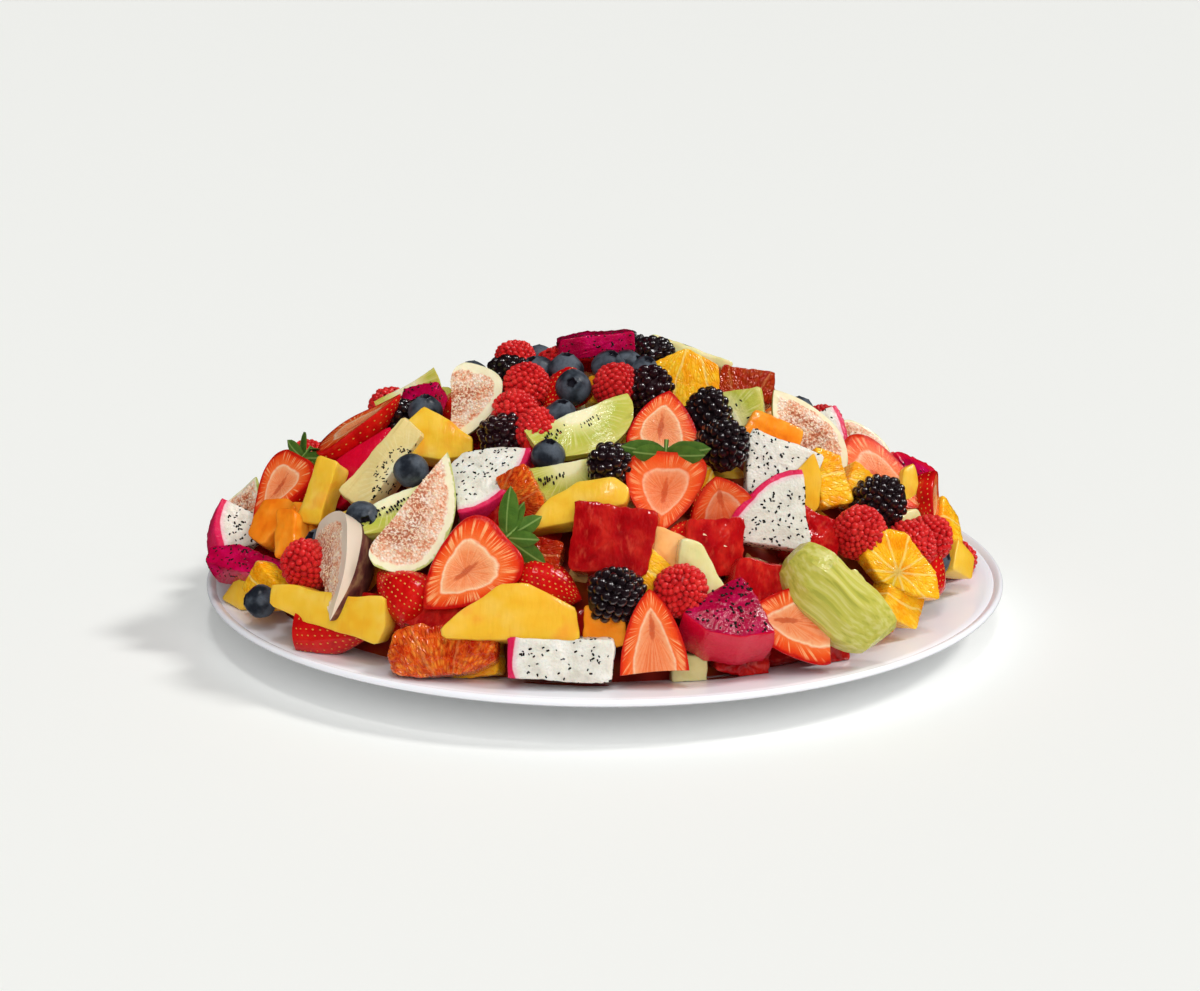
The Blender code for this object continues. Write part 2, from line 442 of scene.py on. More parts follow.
class Finish:
    """One material, with short calls that add and wire its nodes."""

    def __init__(self, name, roughness=0.3, sheer=0.0, sheer_depth=3.0, specular=0.25):
        self.material = bpy.data.materials.new(name)
        self.material.use_nodes = True
        self.tree = self.material.node_tree
        self.shader = self.tree.nodes["Principled BSDF"]
        self.shader.inputs["Roughness"].default_value = roughness
        self.shader.inputs["Specular IOR Level"].default_value = specular
        self.shader.inputs["Subsurface Weight"].default_value = sheer
        self.shader.inputs["Subsurface Radius"].default_value = (1.0, 0.5, 0.35)
        self.shader.inputs["Subsurface Scale"].default_value = sheer_depth * MM
        self.place = self.node("Attribute", attribute_name="place", output="Vector")
        self.ring = self.node("Attribute", attribute_name="ring", output="Fac")
        self.tone = self.node("Attribute", attribute_name="tone", output="Fac")
        shift = self.vector("SCALE", self.node("CombineXYZ", {0: self.tone, 1: self.tone, 2: self.tone}), scale=9.7)
        self.spot = self.vector("ADD", self.place, shift)

    def node(self, kind, inputs=None, output=0, **settings):
        made = self.tree.nodes.new("ShaderNode" + kind)
        for name, value in settings.items():
            setattr(made, name, value)
        for key, value in (inputs or {}).items():
            self.feed(made.inputs[key], value)
        return made.outputs[output]

    def feed(self, socket, value):
        if isinstance(value, bpy.types.NodeSocket):
            self.tree.links.new(value, socket)
        else:
            socket.default_value = value

    def math(self, operation, first, second=0.0, third=0.0, clamp=False):
        return self.node("Math", {0: first, 1: second, 2: third}, operation=operation, use_clamp=clamp)

    def vector(self, operation, first, second=None, scale=None):
        inputs = {0: first}
        if second is not None:
            inputs[1] = second
        if scale is not None:
            inputs["Scale"] = scale
        output = "Value" if operation in ("LENGTH", "DOT_PRODUCT", "DISTANCE") else "Vector"
        return self.node("VectorMath", inputs, output, operation=operation)

    def stretch(self, vector, x, y, z):
        return self.vector("MULTIPLY", vector, (x, y, z))

    def noise(self, size, vector=None, detail=2.0, distortion=0.0):
        """Noise with features about size millimetres across."""
        inputs = {"Vector": vector or self.spot, "Scale": 1 / (size * MM), "Detail": detail, "Distortion": distortion}
        return self.node("TexNoise", inputs, "Fac")

    def cells(self, size, vector=None, feature="F1", output="Distance", randomness=1.0):
        """Distance, or colour, of cells about size millimetres across."""
        inputs = {"Vector": vector or self.spot, "Scale": 1 / (size * MM), "Randomness": randomness}
        return self.node("TexVoronoi", inputs, output, feature=feature)

    def between(self, value, low, high, to_low=0.0, to_high=1.0, smooth=True):
        """value taken from low..high to to_low..to_high, held at both ends."""
        inputs = {0: value, 1: low, 2: high, 3: to_low, 4: to_high}
        kind = "SMOOTHSTEP" if smooth else "LINEAR"
        return self.node("MapRange", inputs, interpolation_type=kind)

    def ramp(self, value, *stops):
        made = self.tree.nodes.new("ShaderNodeValToRGB")
        elements = made.color_ramp.elements
        for i, (position, colour) in enumerate(stops):
            element = elements[i] if i < 2 else elements.new(position)
            element.position = position
            element.color = colour
        self.feed(made.inputs[0], value)
        return made.outputs[0]

    def mix(self, share, first, second, blend="MIX"):
        made = self.tree.nodes.new("ShaderNodeMix")
        made.data_type = "RGBA"
        made.blend_type = blend
        for key, value in ((0, share), (6, first), (7, second)):
            self.feed(made.inputs[key], value)
        return made.outputs[2]

    def colour(self, value):
        self.feed(self.shader.inputs["Base Color"], value)

    def gloss(self, value):
        self.feed(self.shader.inputs["Roughness"], value)

    def relief(self, height, depth, strength=1.0):
        """Bumps depth millimetres deep where height goes from 0 to 1."""
        inputs = {"Height": height, "Distance": depth * MM, "Strength": strength}
        bumps = self.node("Bump", inputs, "Normal")
        self.feed(self.shader.inputs["Normal"], bumps)
        self.feed(self.shader.inputs["Coat Normal"], bumps)

    def set(self, **values):
        """Sets the shader's own sockets; an underscore in a name stands for a space."""
        for name, value in values.items():
            self.shader.inputs[name.replace("_", " ")].default_value = value
        return self.material


def varied(finish, colour, lighter, darker, size=9.0):
    """A colour that wanders softly between a lighter and a darker one, over a piece and from piece to piece."""
    wander = finish.noise(size)
    light = finish.mix(finish.between(wander, 0.45, 0.75, 0, 0.8), colour, lighter)
    dark = finish.mix(finish.between(wander, 0.5, 0.25, 0, 0.7), light, darker)
    return finish.mix(finish.between(finish.tone, 0.5, 1.0, 0, 0.45, smooth=False), dark, darker)


def strawberry_flesh():
    """Orange-red flesh with pale rays outside a pale line, and a salmon core with a slit, darker as painted shade."""
    finish = Finish("strawberry_flesh", roughness=0.27, sheer=0.25, sheer_depth=2.5)
    outward = finish.vector("NORMALIZE", finish.stretch(finish.place, 1, 0.8, 0))
    around = finish.vector("SCALE", outward, scale=11.0)
    rays_at = finish.vector("ADD", around, finish.vector("SCALE", finish.spot, scale=30))
    streaks = finish.node("TexNoise", {"Vector": rays_at, "Scale": 1.5, "Detail": 2.0}, "Fac")
    rays = finish.between(streaks, 0.52, 0.62)
    wobble = finish.math("MULTIPLY_ADD", finish.noise(7), 0.16, -0.08)
    ring = finish.math("ADD", finish.ring, wobble)
    ray_zone = finish.math("MULTIPLY", finish.between(ring, 0.58, 0.74), finish.between(ring, 0.95, 0.84))
    base = finish.ramp(
        ring,
        (0.0, rgb(238, 124, 70)),
        (0.38, rgb(246, 144, 88)),
        (0.49, rgb(249, 172, 122)),
        (0.55, rgb(253, 212, 172)),
        (0.60, rgb(246, 118, 56)),
        (0.74, rgb(242, 92, 32)),
        (0.88, rgb(232, 60, 18)),
        (0.95, rgb(192, 12, 10)),
    )
    rayed = finish.mix(finish.math("MULTIPLY", rays, finish.math("MULTIPLY", ray_zone, 0.7)), base, rgb(254, 196, 132))
    # Painted shade: the core's slit, a cavity too narrow for the mesh, is painted a darker orange.
    slit_reach = finish.vector("LENGTH", finish.stretch(finish.place, 1 / 0.0015, 1 / 0.0075, 0))
    slit = finish.between(finish.math("ADD", slit_reach, finish.noise(2)), 1.5, 1.1)
    core_rays = finish.math("MULTIPLY", finish.between(ring, 0.54, 0.4, 0, 0.4), finish.between(streaks, 0.4, 0.6))
    grained = finish.mix(core_rays, rayed, rgb(253, 190, 140))
    cored = finish.mix(finish.math("MULTIPLY", slit, 0.7), grained, rgb(206, 80, 40))
    speckled = finish.mix(finish.between(finish.noise(2.2), 0.5, 0.75, 0, 0.25), cored, rgb(232, 78, 26))
    finish.colour(finish.mix(finish.between(finish.tone, 0.3, 1, 0, 0.3), speckled, rgb(240, 86, 34)))
    grain = finish.math("ADD", finish.noise(1.1), finish.math("MULTIPLY", streaks, 0.8))
    finish.relief(grain, 0.4, 0.8)
    return finish.set(Coat_Weight=0.3, Coat_Roughness=0.08)


def strawberry_skin():
    finish = Finish("strawberry_skin", roughness=0.2, sheer=0.12, sheer_depth=2.0)
    red = varied(finish, rgb(200, 14, 14), rgb(220, 34, 22), rgb(160, 4, 10), 8)
    finish.colour(red)
    finish.relief(finish.noise(1.6), 0.12)
    return finish.set(Coat_Weight=0.25, Coat_Roughness=0.12)


def seed_yellow():
    finish = Finish("strawberry_seed", roughness=0.35)
    finish.colour(finish.mix(finish.noise(3), rgb(206, 120, 40), rgb(232, 176, 84)))
    return finish.material


def leaf_green():
    finish = Finish("leaf", roughness=0.42, sheer=0.1, sheer_depth=1.0)
    across = finish.node("SeparateXYZ", {0: finish.place}, 0)
    vein = finish.between(finish.math("ABSOLUTE", across), 0.0006, 0.0001)
    green = finish.mix(finish.noise(4), rgb(46, 84, 26), rgb(90, 126, 44))
    finish.colour(finish.mix(finish.math("MULTIPLY", vein, 0.6), green, rgb(150, 176, 96)))
    finish.relief(finish.noise(1.5), 0.2)
    return finish.material


def raspberry_red():
    finish = Finish("raspberry_drupelet", roughness=0.34, sheer=0.3, sheer_depth=2.5, specular=0.5)
    red = varied(finish, rgb(212, 20, 26), rgb(232, 56, 48), rgb(172, 6, 18), 6)
    # Painted sheen: paler pink towards the outline, where the fine hairs catch the light at grazing angles.
    bloom_and_sheen = finish.node("LayerWeight", {"Blend": 0.35}, "Facing")
    finish.colour(finish.mix(finish.math("MULTIPLY", bloom_and_sheen, 0.3), red, rgb(236, 104, 96)))
    finish.relief(finish.noise(0.7), 0.08)
    return finish.material


def bramble_black():
    finish = Finish("bramble_drupelet", roughness=0.3, specular=0.7)
    dark = finish.mix(finish.noise(8), rgb(18, 14, 16), rgb(36, 20, 26))
    finish.colour(finish.mix(finish.between(finish.tone, 0.6, 1.0, 0, 0.5), dark, rgb(46, 10, 18)))
    finish.relief(finish.noise(0.8), 0.05)
    return finish.set(Coat_Weight=1.0, Coat_Roughness=0.08)


def blueberry_skin():
    """Dark blue skin under a pale bloom that is rubbed off in patches."""
    finish = Finish("blueberry_skin", roughness=0.42)
    bloom_and_sheen = finish.between(finish.noise(9, detail=4), 0.36, 0.62)
    skin = finish.mix(bloom_and_sheen, rgb(30, 34, 42), rgb(84, 92, 102))
    fine = finish.mix(finish.between(finish.noise(1.2), 0.45, 0.7, 0, 0.35), skin, rgb(48, 54, 62))
    crown = finish.between(finish.ring, 0.35, 0.8)
    finish.colour(finish.mix(crown, rgb(26, 24, 32), fine))
    finish.gloss(finish.between(bloom_and_sheen, 0, 1, 0.28, 0.55))
    finish.relief(finish.noise(1.0), 0.05)
    return finish.material


def kiwi_radius(finish):
    """0 at the kiwi's middle, 1 at its skin."""
    return finish.vector("LENGTH", finish.stretch(finish.place, *(1 / KIWI_HALF_SIZE)))


def kiwi_flesh(name, core, pale, flesh, outer, dark):
    finish = Finish(name, roughness=0.25, sheer=0.35, sheer_depth=4.0)
    out = finish.math("ADD", kiwi_radius(finish), finish.math("MULTIPLY_ADD", finish.noise(6), 0.1, -0.05))
    outward = finish.vector("NORMALIZE", finish.place)
    rays_at = finish.vector("ADD", finish.vector("SCALE", outward, scale=9), finish.spot)
    rays = finish.node("TexNoise", {"Vector": rays_at, "Scale": 1.8, "Detail": 3.0}, "Fac")
    rim = finish.between(out, 0.8, 0.95)
    base = finish.ramp(out, (0.0, core), (0.26, core), (0.36, pale), (0.62, flesh), (0.9, outer))
    inside = finish.math("MULTIPLY", finish.between(out, 0.25, 0.45), finish.between(out, 0.9, 0.75, 0, 0.55))
    streaked = finish.mix(finish.math("MULTIPLY", finish.between(rays, 0.48, 0.66), inside), base, pale)
    ribs = finish.noise(2.4, finish.stretch(finish.spot, 1, 0.03, 1), detail=2)
    # Painted highlight and shade on the peeled outside: paler on the ridges of the relief, darker in its grooves.
    ridges_painted_highlight = finish.mix(finish.math("MULTIPLY", finish.between(ribs, 0.46, 0.66, 0, 0.45), rim), streaked, pale)
    shaded = finish.mix(finish.math("MULTIPLY", finish.between(ribs, 0.46, 0.28, 0, 0.4), rim), ridges_painted_highlight, dark)
    finish.colour(varied_over(finish, shaded, outer))
    finish.relief(finish.math("ADD", finish.math("MULTIPLY", ribs, 0.9), finish.noise(1.6)), 0.3, 0.7)
    return finish.set(Coat_Weight=0.3, Coat_Roughness=0.1)


def varied_over(finish, colour, other):
    return finish.mix(finish.between(finish.tone, 0.4, 1, 0, 0.35), colour, other)


def black_seed():
    finish = Finish("black_seed", roughness=0.25)
    finish.colour(finish.mix(finish.noise(2), rgb(16, 14, 14), rgb(36, 30, 28)))
    return finish.material


def mango_flesh():
    """Smooth yellow flesh, deeper orange in soft patches, with faint knife marks and fibres."""
    finish = Finish("mango_flesh", roughness=0.3, sheer=0.35, sheer_depth=4.0)
    yellow = varied(finish, rgb(238, 190, 54), rgb(243, 204, 92), rgb(234, 168, 30), 12)
    patch = finish.between(finish.noise(16, detail=3), 0.56, 0.74, 0, 0.55)
    blushed = finish.mix(patch, yellow, rgb(236, 142, 46))
    threads = finish.noise(1.6, finish.stretch(finish.spot, 1, 0.12, 1), detail=3)
    finish.colour(finish.mix(finish.between(threads, 0.58, 0.74, 0, 0.3), blushed, rgb(222, 150, 40)))
    fibres = finish.noise(2.0, finish.stretch(finish.spot, 1, 0.18, 1))
    finish.relief(finish.math("ADD", fibres, finish.noise(5)), 0.35, 0.5)
    return finish.set(Coat_Weight=0.2, Coat_Roughness=0.12)


def pitaya_radius(finish):
    return finish.vector("LENGTH", finish.stretch(finish.place, 1, 1, 0))


def pitaya_white():
    """White flesh that ends in a thin magenta rind."""
    finish = Finish("pitaya_white_flesh", roughness=0.33, sheer=0.3, sheer_depth=3.0)
    out = finish.math("ADD", pitaya_radius(finish), finish.math("MULTIPLY_ADD", finish.noise(5), 0.0012, -0.0006))
    smooth = varied(finish, rgb(230, 226, 213), rgb(240, 237, 229), rgb(208, 201, 186), 6)
    flesh = finish.mix(finish.between(finish.noise(0.9), 0.5, 0.7, 0, 0.3), smooth, rgb(196, 190, 176))
    blush = finish.mix(finish.between(out, 0.0335, 0.0364, 0, 0.6), flesh, rgb(238, 170, 190))
    skin = finish.mix(finish.noise(7), rgb(206, 8, 66), rgb(226, 44, 98))
    finish.colour(finish.mix(finish.between(out, 0.0360, 0.0366), blush, skin))
    finish.relief(finish.math("ADD", finish.noise(1.2), finish.noise(4)), 0.45, 0.8)
    return finish.set(Coat_Weight=0.2, Coat_Roughness=0.12)


def pitaya_red():
    """Magenta flesh, and a redder glossy outside where the rind was peeled off."""
    finish = Finish("pitaya_red_flesh", roughness=0.24, sheer=0.3, sheer_depth=3.0)
    out = finish.math("ADD", pitaya_radius(finish), finish.math("MULTIPLY_ADD", finish.noise(6), 0.003, -0.0015))
    flesh = varied(finish, rgb(180, 0, 60), rgb(210, 10, 92), rgb(138, 0, 42), 7)
    peeled = finish.mix(finish.noise(9), rgb(198, 0, 30), rgb(220, 18, 62))
    side = finish.math("MULTIPLY", finish.between(finish.ring, 0.95, 0.99), finish.between(finish.tone, 0.99, 1.0))
    outside = finish.math("MAXIMUM", finish.between(out, 0.033, 0.037), side)
    finish.colour(finish.mix(outside, flesh, peeled))
    finish.relief(finish.math("ADD", finish.noise(1.3), finish.noise(4)), 0.4, 0.8)
    return finish.set(Coat_Weight=0.5, Coat_Roughness=0.08)


def fig_inside():
    """Salmon seedy flesh inside a cream pith."""
    finish = Finish("fig_inside", roughness=0.3, sheer=0.25, sheer_depth=2.5)
    wobble = finish.math("MULTIPLY_ADD", finish.noise(4), 0.14, -0.07)
    ring = finish.math("ADD", finish.ring, wobble)
    thick = finish.math("MULTIPLY_ADD", finish.tone, 0.2, ring)
    grains = finish.cells(1.15)
    patches = finish.noise(6, detail=3)
    fine = finish.noise(1.3, detail=3)
    threads = finish.math("MULTIPLY", finish.math("ADD", fine, patches), 0.5)
    pulp = finish.ramp(
        threads,
        (0.36, rgb(218, 130, 94)),
        (0.44, rgb(240, 180, 144)),
        (0.51, rgb(249, 216, 188)),
        (0.60, rgb(253, 240, 222)),
    )
    dots = finish.mix(finish.between(grains, 0.3, 0.75, 0, 0.3), pulp, rgb(214, 122, 84))
    heart_zone = finish.math("MULTIPLY", finish.between(thick, 0.2, 0.4), finish.between(thick, 0.82, 0.5))
    brown = finish.math("MULTIPLY", heart_zone, finish.between(fine, 0.58, 0.42, 0.1, 0.85))
    heart = finish.mix(brown, dots, rgb(176, 92, 60))
    cream = finish.mix(finish.noise(3), rgb(238, 226, 184), rgb(246, 240, 212))
    pith = finish.mix(finish.between(finish.tone, 0.6, 0.7), cream, rgb(226, 208, 188))
    green_rim = finish.math("MULTIPLY", finish.between(ring, 0.955, 0.985), finish.between(finish.tone, 0.6, 0.4))
    rim = finish.mix(green_rim, pith, rgb(190, 194, 112))
    finish.colour(finish.mix(finish.between(thick, 0.93, 0.97), heart, rim))
    bumps = finish.math("SUBTRACT", threads, grains)
    finish.relief(finish.math("MULTIPLY", bumps, finish.between(thick, 0.97, 0.9)), 0.6, 1.0)
    return finish.set(Coat_Weight=0.25, Coat_Roughness=0.1)


def fig_skin(name, first, second, third):
    finish = Finish(name, roughness=0.36, sheer=0.1)
    stripes = finish.noise(4, finish.stretch(finish.spot, 1, 0.2, 1), detail=3)
    finish.colour(finish.ramp(stripes, (0.3, first), (0.5, second), (0.7, third)))
    finish.relief(stripes, 0.3, 0.6)
    return finish.material


def watermelon_flesh():
    """Wet red flesh, grainy, with paler fibres."""
    finish = Finish("watermelon_flesh", roughness=0.2, sheer=0.3, sheer_depth=3.0)
    red = varied(finish, rgb(184, 12, 18), rgb(216, 48, 34), rgb(140, 2, 8), 8)
    grain = finish.cells(1.3, finish.stretch(finish.spot, 1, 0.6, 1))
    fibres = finish.noise(2.6, finish.stretch(finish.spot, 1, 0.4, 1), detail=4)
    pale = finish.between(fibres, 0.54, 0.74, 0, 0.4)
    grained = finish.mix(finish.between(grain, 0.2, 0.7, 0.2, 0), red, rgb(128, 2, 6))
    finish.colour(finish.mix(pale, grained, rgb(226, 84, 60)))
    finish.relief(finish.math("ADD", finish.math("MULTIPLY", grain, -0.8), fibres), 0.28, 0.8)
    return finish.set(Coat_Weight=0.6, Coat_Roughness=0.05)


def citrus(name, juice, light, dark, membrane, gloss, bloody=0.0):
    """Juice sacs that run outward from the fruit's middle, in segments between pale membranes."""
    finish = Finish(name, roughness=gloss, sheer=0.35, sheer_depth=3.0)
    flat = finish.stretch(finish.place, 1, 1, 0)
    outward = finish.vector("SCALE", finish.vector("NORMALIZE", flat), scale=9.0)
    radial = finish.vector("SCALE", finish.place, scale=110)
    sacs_at = finish.vector("ADD", finish.vector("ADD", outward, radial), finish.vector("SCALE", finish.spot, scale=120))
    sacs = finish.node("TexVoronoi", {"Vector": sacs_at, "Scale": 1.1}, "Distance", feature="F1")
    walls = finish.node("TexVoronoi", {"Vector": sacs_at, "Scale": 1.1}, "Distance", feature="DISTANCE_TO_EDGE")
    x = finish.node("SeparateXYZ", {0: flat}, 0)
    y = finish.node("SeparateXYZ", {0: flat}, 1)
    turn = finish.math("DIVIDE", finish.math("ARCTAN2", y, x), 2 * math.pi / 10)
    turn = finish.math("ADD", turn, finish.math("MULTIPLY_ADD", finish.noise(12), 0.3, -0.15))
    split_line = finish.math("ABSOLUTE", finish.math("SUBTRACT", finish.math("FRACT", turn), 0.5))
    reach = finish.vector("LENGTH", flat)
    gap = finish.math("MULTIPLY", finish.math("SUBTRACT", 0.5, split_line), finish.math("MULTIPLY", reach, 0.62))
    wall = finish.between(gap, 0.0007, 0.0003)
    base = finish.mix(finish.between(sacs, 0.15, 0.7), light, juice)
    tinted = finish.mix(finish.between(finish.noise(10), 0.4, 0.7), base, dark)
    edged = finish.mix(finish.between(walls, 0.09, 0.0, 0, 0.3), tinted, light)
    flecks = finish.math("MULTIPLY", finish.between(finish.noise(2.6, detail=3), 0.48, 0.62), bloody)
    ripe = finish.math("MULTIPLY", finish.between(finish.tone, 0.7, 1.0), bloody)
    stain = finish.math("MAXIMUM", finish.math("MULTIPLY", flecks, 0.45), finish.math("MULTIPLY", ripe, 0.8))
    stained = finish.mix(stain, edged, rgb(156, 14, 8))
    finish.colour(finish.mix(finish.math("MULTIPLY", wall, 0.6 - 0.3 * bloody), stained, membrane))
    bumps = finish.math("SUBTRACT", finish.between(walls, 0, 0.25), finish.math("MULTIPLY", wall, 0.7))
    finish.relief(finish.math("ADD", bumps, finish.noise(1.5)), 0.22 + 0.38 * bloody, 0.8)
    return finish


def smooth_flesh(name, colour, lighter, darker, roughness=0.24, sheer=0.4):
    """Smooth wet melon or papaya flesh with faint fibres."""
    finish = Finish(name, roughness=roughness, sheer=sheer, sheer_depth=4.0)
    finish.colour(varied(finish, colour, lighter, darker, 9))
    fibres = finish.noise(2.2, finish.stretch(finish.spot, 1, 0.35, 1))
    finish.relief(finish.math("ADD", fibres, finish.noise(5)), 0.4, 0.7)
    return finish.set(Coat_Weight=0.3, Coat_Roughness=0.1)


def plate_white():
    """Smooth white melamine with the faintest mottling."""
    finish = Finish("plate_white", roughness=0.24, sheer=0.05, sheer_depth=1.0)
    mottle = finish.node("TexNoise", {"Vector": finish.place, "Scale": 18.0, "Detail": 3.0}, "Fac")
    finish.colour(finish.mix(mottle, rgb(243, 243, 249), rgb(249, 249, 254)))
    fine = finish.node("TexNoise", {"Vector": finish.place, "Scale": 55.0}, "Fac")
    finish.relief(fine, 0.06)
    return finish.material


def core_dark():
    """The juicy tangle seen between the pieces, its dark colour partly its own and partly painted shade."""
    finish = Finish("fruit_core", roughness=0.6, sheer=0.2)
    lump = finish.cells(14)
    # Painted shade: darker red-browns than the fruit on top, so that the gaps between pieces read as shaded fruit;
    # partly the juice's own colour.
    finish.colour(finish.ramp(finish.noise(16), (0.35, rgb(96, 12, 10)), (0.5, rgb(140, 30, 14)), (0.66, rgb(150, 66, 16))))
    finish.relief(lump, 3.0, 0.8)
    return finish.material


def juice_film():
    finish = Finish("juice", roughness=0.08)
    finish.colour(finish.mix(finish.noise(9), rgb(240, 190, 186), rgb(232, 130, 118)))
    return finish.set(Transmission_Weight=0.9, IOR=1.34)


# ---------------------------------------------------------------- the kinds


def make_kinds():
    flesh, skin = strawberry_flesh(), strawberry_skin()
    Kind("strawberries", "strawberry", flesh, skin)
    Kind("strawberry_seeds", "strawberry", seed_yellow())
    Kind("strawberry_leaves", "strawberry_leaf", leaf_green())
    Kind("raspberries", "raspberry", raspberry_red())
    Kind("brambles", "bramble", bramble_black())
    Kind("blueberries", "blueberry", blueberry_skin())
    # The last colour of each kiwi is painted shade for the grooves of its peeled outside; the pale one also paints
    # highlight on its ridges.
    green = kiwi_flesh("kiwi_green", rgb(240, 232, 190), rgb(226, 220, 150), rgb(182, 186, 72),
                       rgb(196, 190, 84), rgb(124, 134, 44))
    gold = kiwi_flesh("kiwi_gold", rgb(244, 234, 196), rgb(236, 220, 164), rgb(226, 204, 136),
                      rgb(232, 210, 142), rgb(198, 166, 88))
    Kind("kiwis", "kiwi", green, gold, sharp=24)
    Kind("fruit_seeds", "fruit_mixed", black_seed())
    Kind("mangoes", "mango", mango_flesh())
    Kind("white_pitayas", "pitaya_white", pitaya_white())
    Kind("red_pitayas", "pitaya_red", pitaya_red())
    green_skin = fig_skin("fig_green_skin", rgb(126, 138, 58), rgb(176, 184, 96), rgb(206, 206, 132))
    purple_skin = fig_skin("fig_purple_skin", rgb(70, 34, 40), rgb(112, 62, 56), rgb(156, 116, 84))
    Kind("figs", "fig", fig_inside(), green_skin, purple_skin)
    Kind("fig_seeds", "fig", seed_pale())
    Kind("watermelons", "watermelon", watermelon_flesh())
    orange = citrus("orange_flesh", rgb(252, 178, 14), rgb(255, 206, 60), rgb(246, 150, 6), rgb(254, 222, 130), 0.2)
    Kind("oranges", "orange", orange.set(Coat_Weight=0.35, Coat_Roughness=0.08))
    blood = citrus("blood_orange_flesh", rgb(230, 76, 16), rgb(248, 146, 50), rgb(190, 24, 8),
                   rgb(244, 164, 96), 0.12, bloody=1.0)
    Kind("blood_oranges", "blood_orange", blood.set(Coat_Weight=0.8, Coat_Roughness=0.05))
    papaya = smooth_flesh("papaya_flesh", rgb(244, 140, 26), rgb(250, 168, 54), rgb(228, 104, 12))
    melon = smooth_flesh("orange_melon_flesh", rgb(246, 190, 120), rgb(250, 208, 150), rgb(240, 164, 90))
    Kind("papayas", "papaya", papaya, melon)
    honeydew = smooth_flesh("honeydew_flesh", rgb(230, 220, 160), rgb(240, 232, 188), rgb(208, 200, 130), 0.2, 0.6)
    Kind("honeydews", "honeydew", honeydew)


def seed_pale():
    finish = Finish("fig_seed", roughness=0.35)
    finish.colour(finish.mix(finish.noise(2), rgb(232, 196, 150), rgb(248, 230, 200)))
    return finish.material


# ---------------------------------------------------------------- strawberries

CUT_POINTS = 6
LEAF_TWIST = 70


def strawberry_profile(length, width, samples, cut=0.0):
    """Radius and height along a strawberry from its stem, or where its top was cut off, to its soft tip."""
    s = np.linspace(0, 1, samples - CUT_POINTS if cut else samples)
    s = s * 0.35 + (1 - np.cos(s * math.pi)) / 2 * 0.65
    s = cut + (1 - cut) * s
    shoulder = 0.27
    rise = np.sqrt(np.clip(1 - (1 - np.minimum(s / shoulder, 1)) ** 2, 0, 1))
    fall = (1 - np.clip((s - shoulder) / (1 - shoulder), 0, 1) ** 1.75) ** 0.85
    radii = width / 2 * rise * fall
    dimple = 0.07 * length * np.exp(-((radii / (0.28 * width)) ** 2)) * (s < 0.5)
    heights = length * (0.5 + cut / 2 - s) - dimple
    if cut:
        across = np.linspace(0, 1, CUT_POINTS, endpoint=False)
        radii = np.concatenate([across * radii[0], radii])
        heights = np.concatenate([np.full(CUT_POINTS, heights[0]), heights])
    radii[0] = radii[-1] = 0
    return radii, heights


def strawberry(matrix, length, width, sepals=(), skin_rows=15, samples=49, seeds=True, cut=0.0):
    """Half a strawberry with dimpled skin and a small seed in each dimple."""
    radii, heights = strawberry_profile(length * MM, width * MM, samples, cut)
    form = split(radii, heights, depth=0.95, face_rings=7, skin_rows=skin_rows, hollow=0.8 * MM)
    count = 2 * (samples - 1)
    if cut:
        column = np.arange(len(form.zones)) % count
        form.zones[(column < CUT_POINTS) | (column >= count - CUT_POINTS)] = 0
        skin_rings(form, radii[CUT_POINTS:], heights[CUT_POINTS:], 0.44 * width * MM)
    first = form.points.reshape(-1, count, 3)
    start = 9
    pits = []
    for row in range(start + 1, start + skin_rows - 1, 3):
        shift = 0 if (row // 3) % 2 else 1
        for i in range(shift + 1, count, 3):
            x, y = first[start, i, :2]
            if abs(x) > 2.5 * MM and y < heights.max() - 1 * MM:
                pits.append((row, i))
    rows, columns = np.array(pits).T
    pit_points = first[rows, columns]
    outward = pit_points * np.array([1, 0.25, 1])
    outward /= np.linalg.norm(outward, axis=1)[:, None]
    first[rows, columns] -= outward * 0.5 * MM
    bend(form, 0.9 * MM, length * MM, rng)
    tone = rng.uniform()
    if seeds:
        seed = bean(1.25 * MM, 0.85 * MM, 0.6 * MM)
        sat = form.points.reshape(-1, count, 3)[rows, columns] + outward * 0.12 * MM
        along = np.tile([0.0, 1.0, 0.0], (len(sat), 1))
        Kind.made["strawberry_seeds"].add(lay_on(seed, sat, outward, rng, ways=along), matrix)
    if len(sepals):
        add_leaves(matrix, heights.max(), width, sepals)
    Kind.made["strawberries"].add(form, matrix, tone)


def sepal(length, width, lift, curl, steps=7):
    """A thin pointed leaf from the origin along Y that rises by lift and curls over."""
    t = np.linspace(0, 1, steps)
    half = width / 2 * np.sin(math.pi * np.clip(t**1.15 * 0.88 + 0.12, 0, 1)) ** 0.7
    along = length * t
    rise = lift * np.sin(t * math.pi / 2) - curl * t**2
    rings = []
    for x_share, deep in ((-1, 0), (0, -0.12), (1, 0), (0, 0.28)):
        rings.append(np.column_stack([half * x_share, along, rise - half * abs(x_share) * 0.25 - deep * MM]))
    strip = np.stack(rings, 1)
    return loft(list(strip), [0] * (steps - 1))


def chance_sepals():
    return [(51 * i + rng.uniform(-10, 10), rng.uniform(15, 95), rng.uniform(0.32, 0.6)) for i in range(7)]


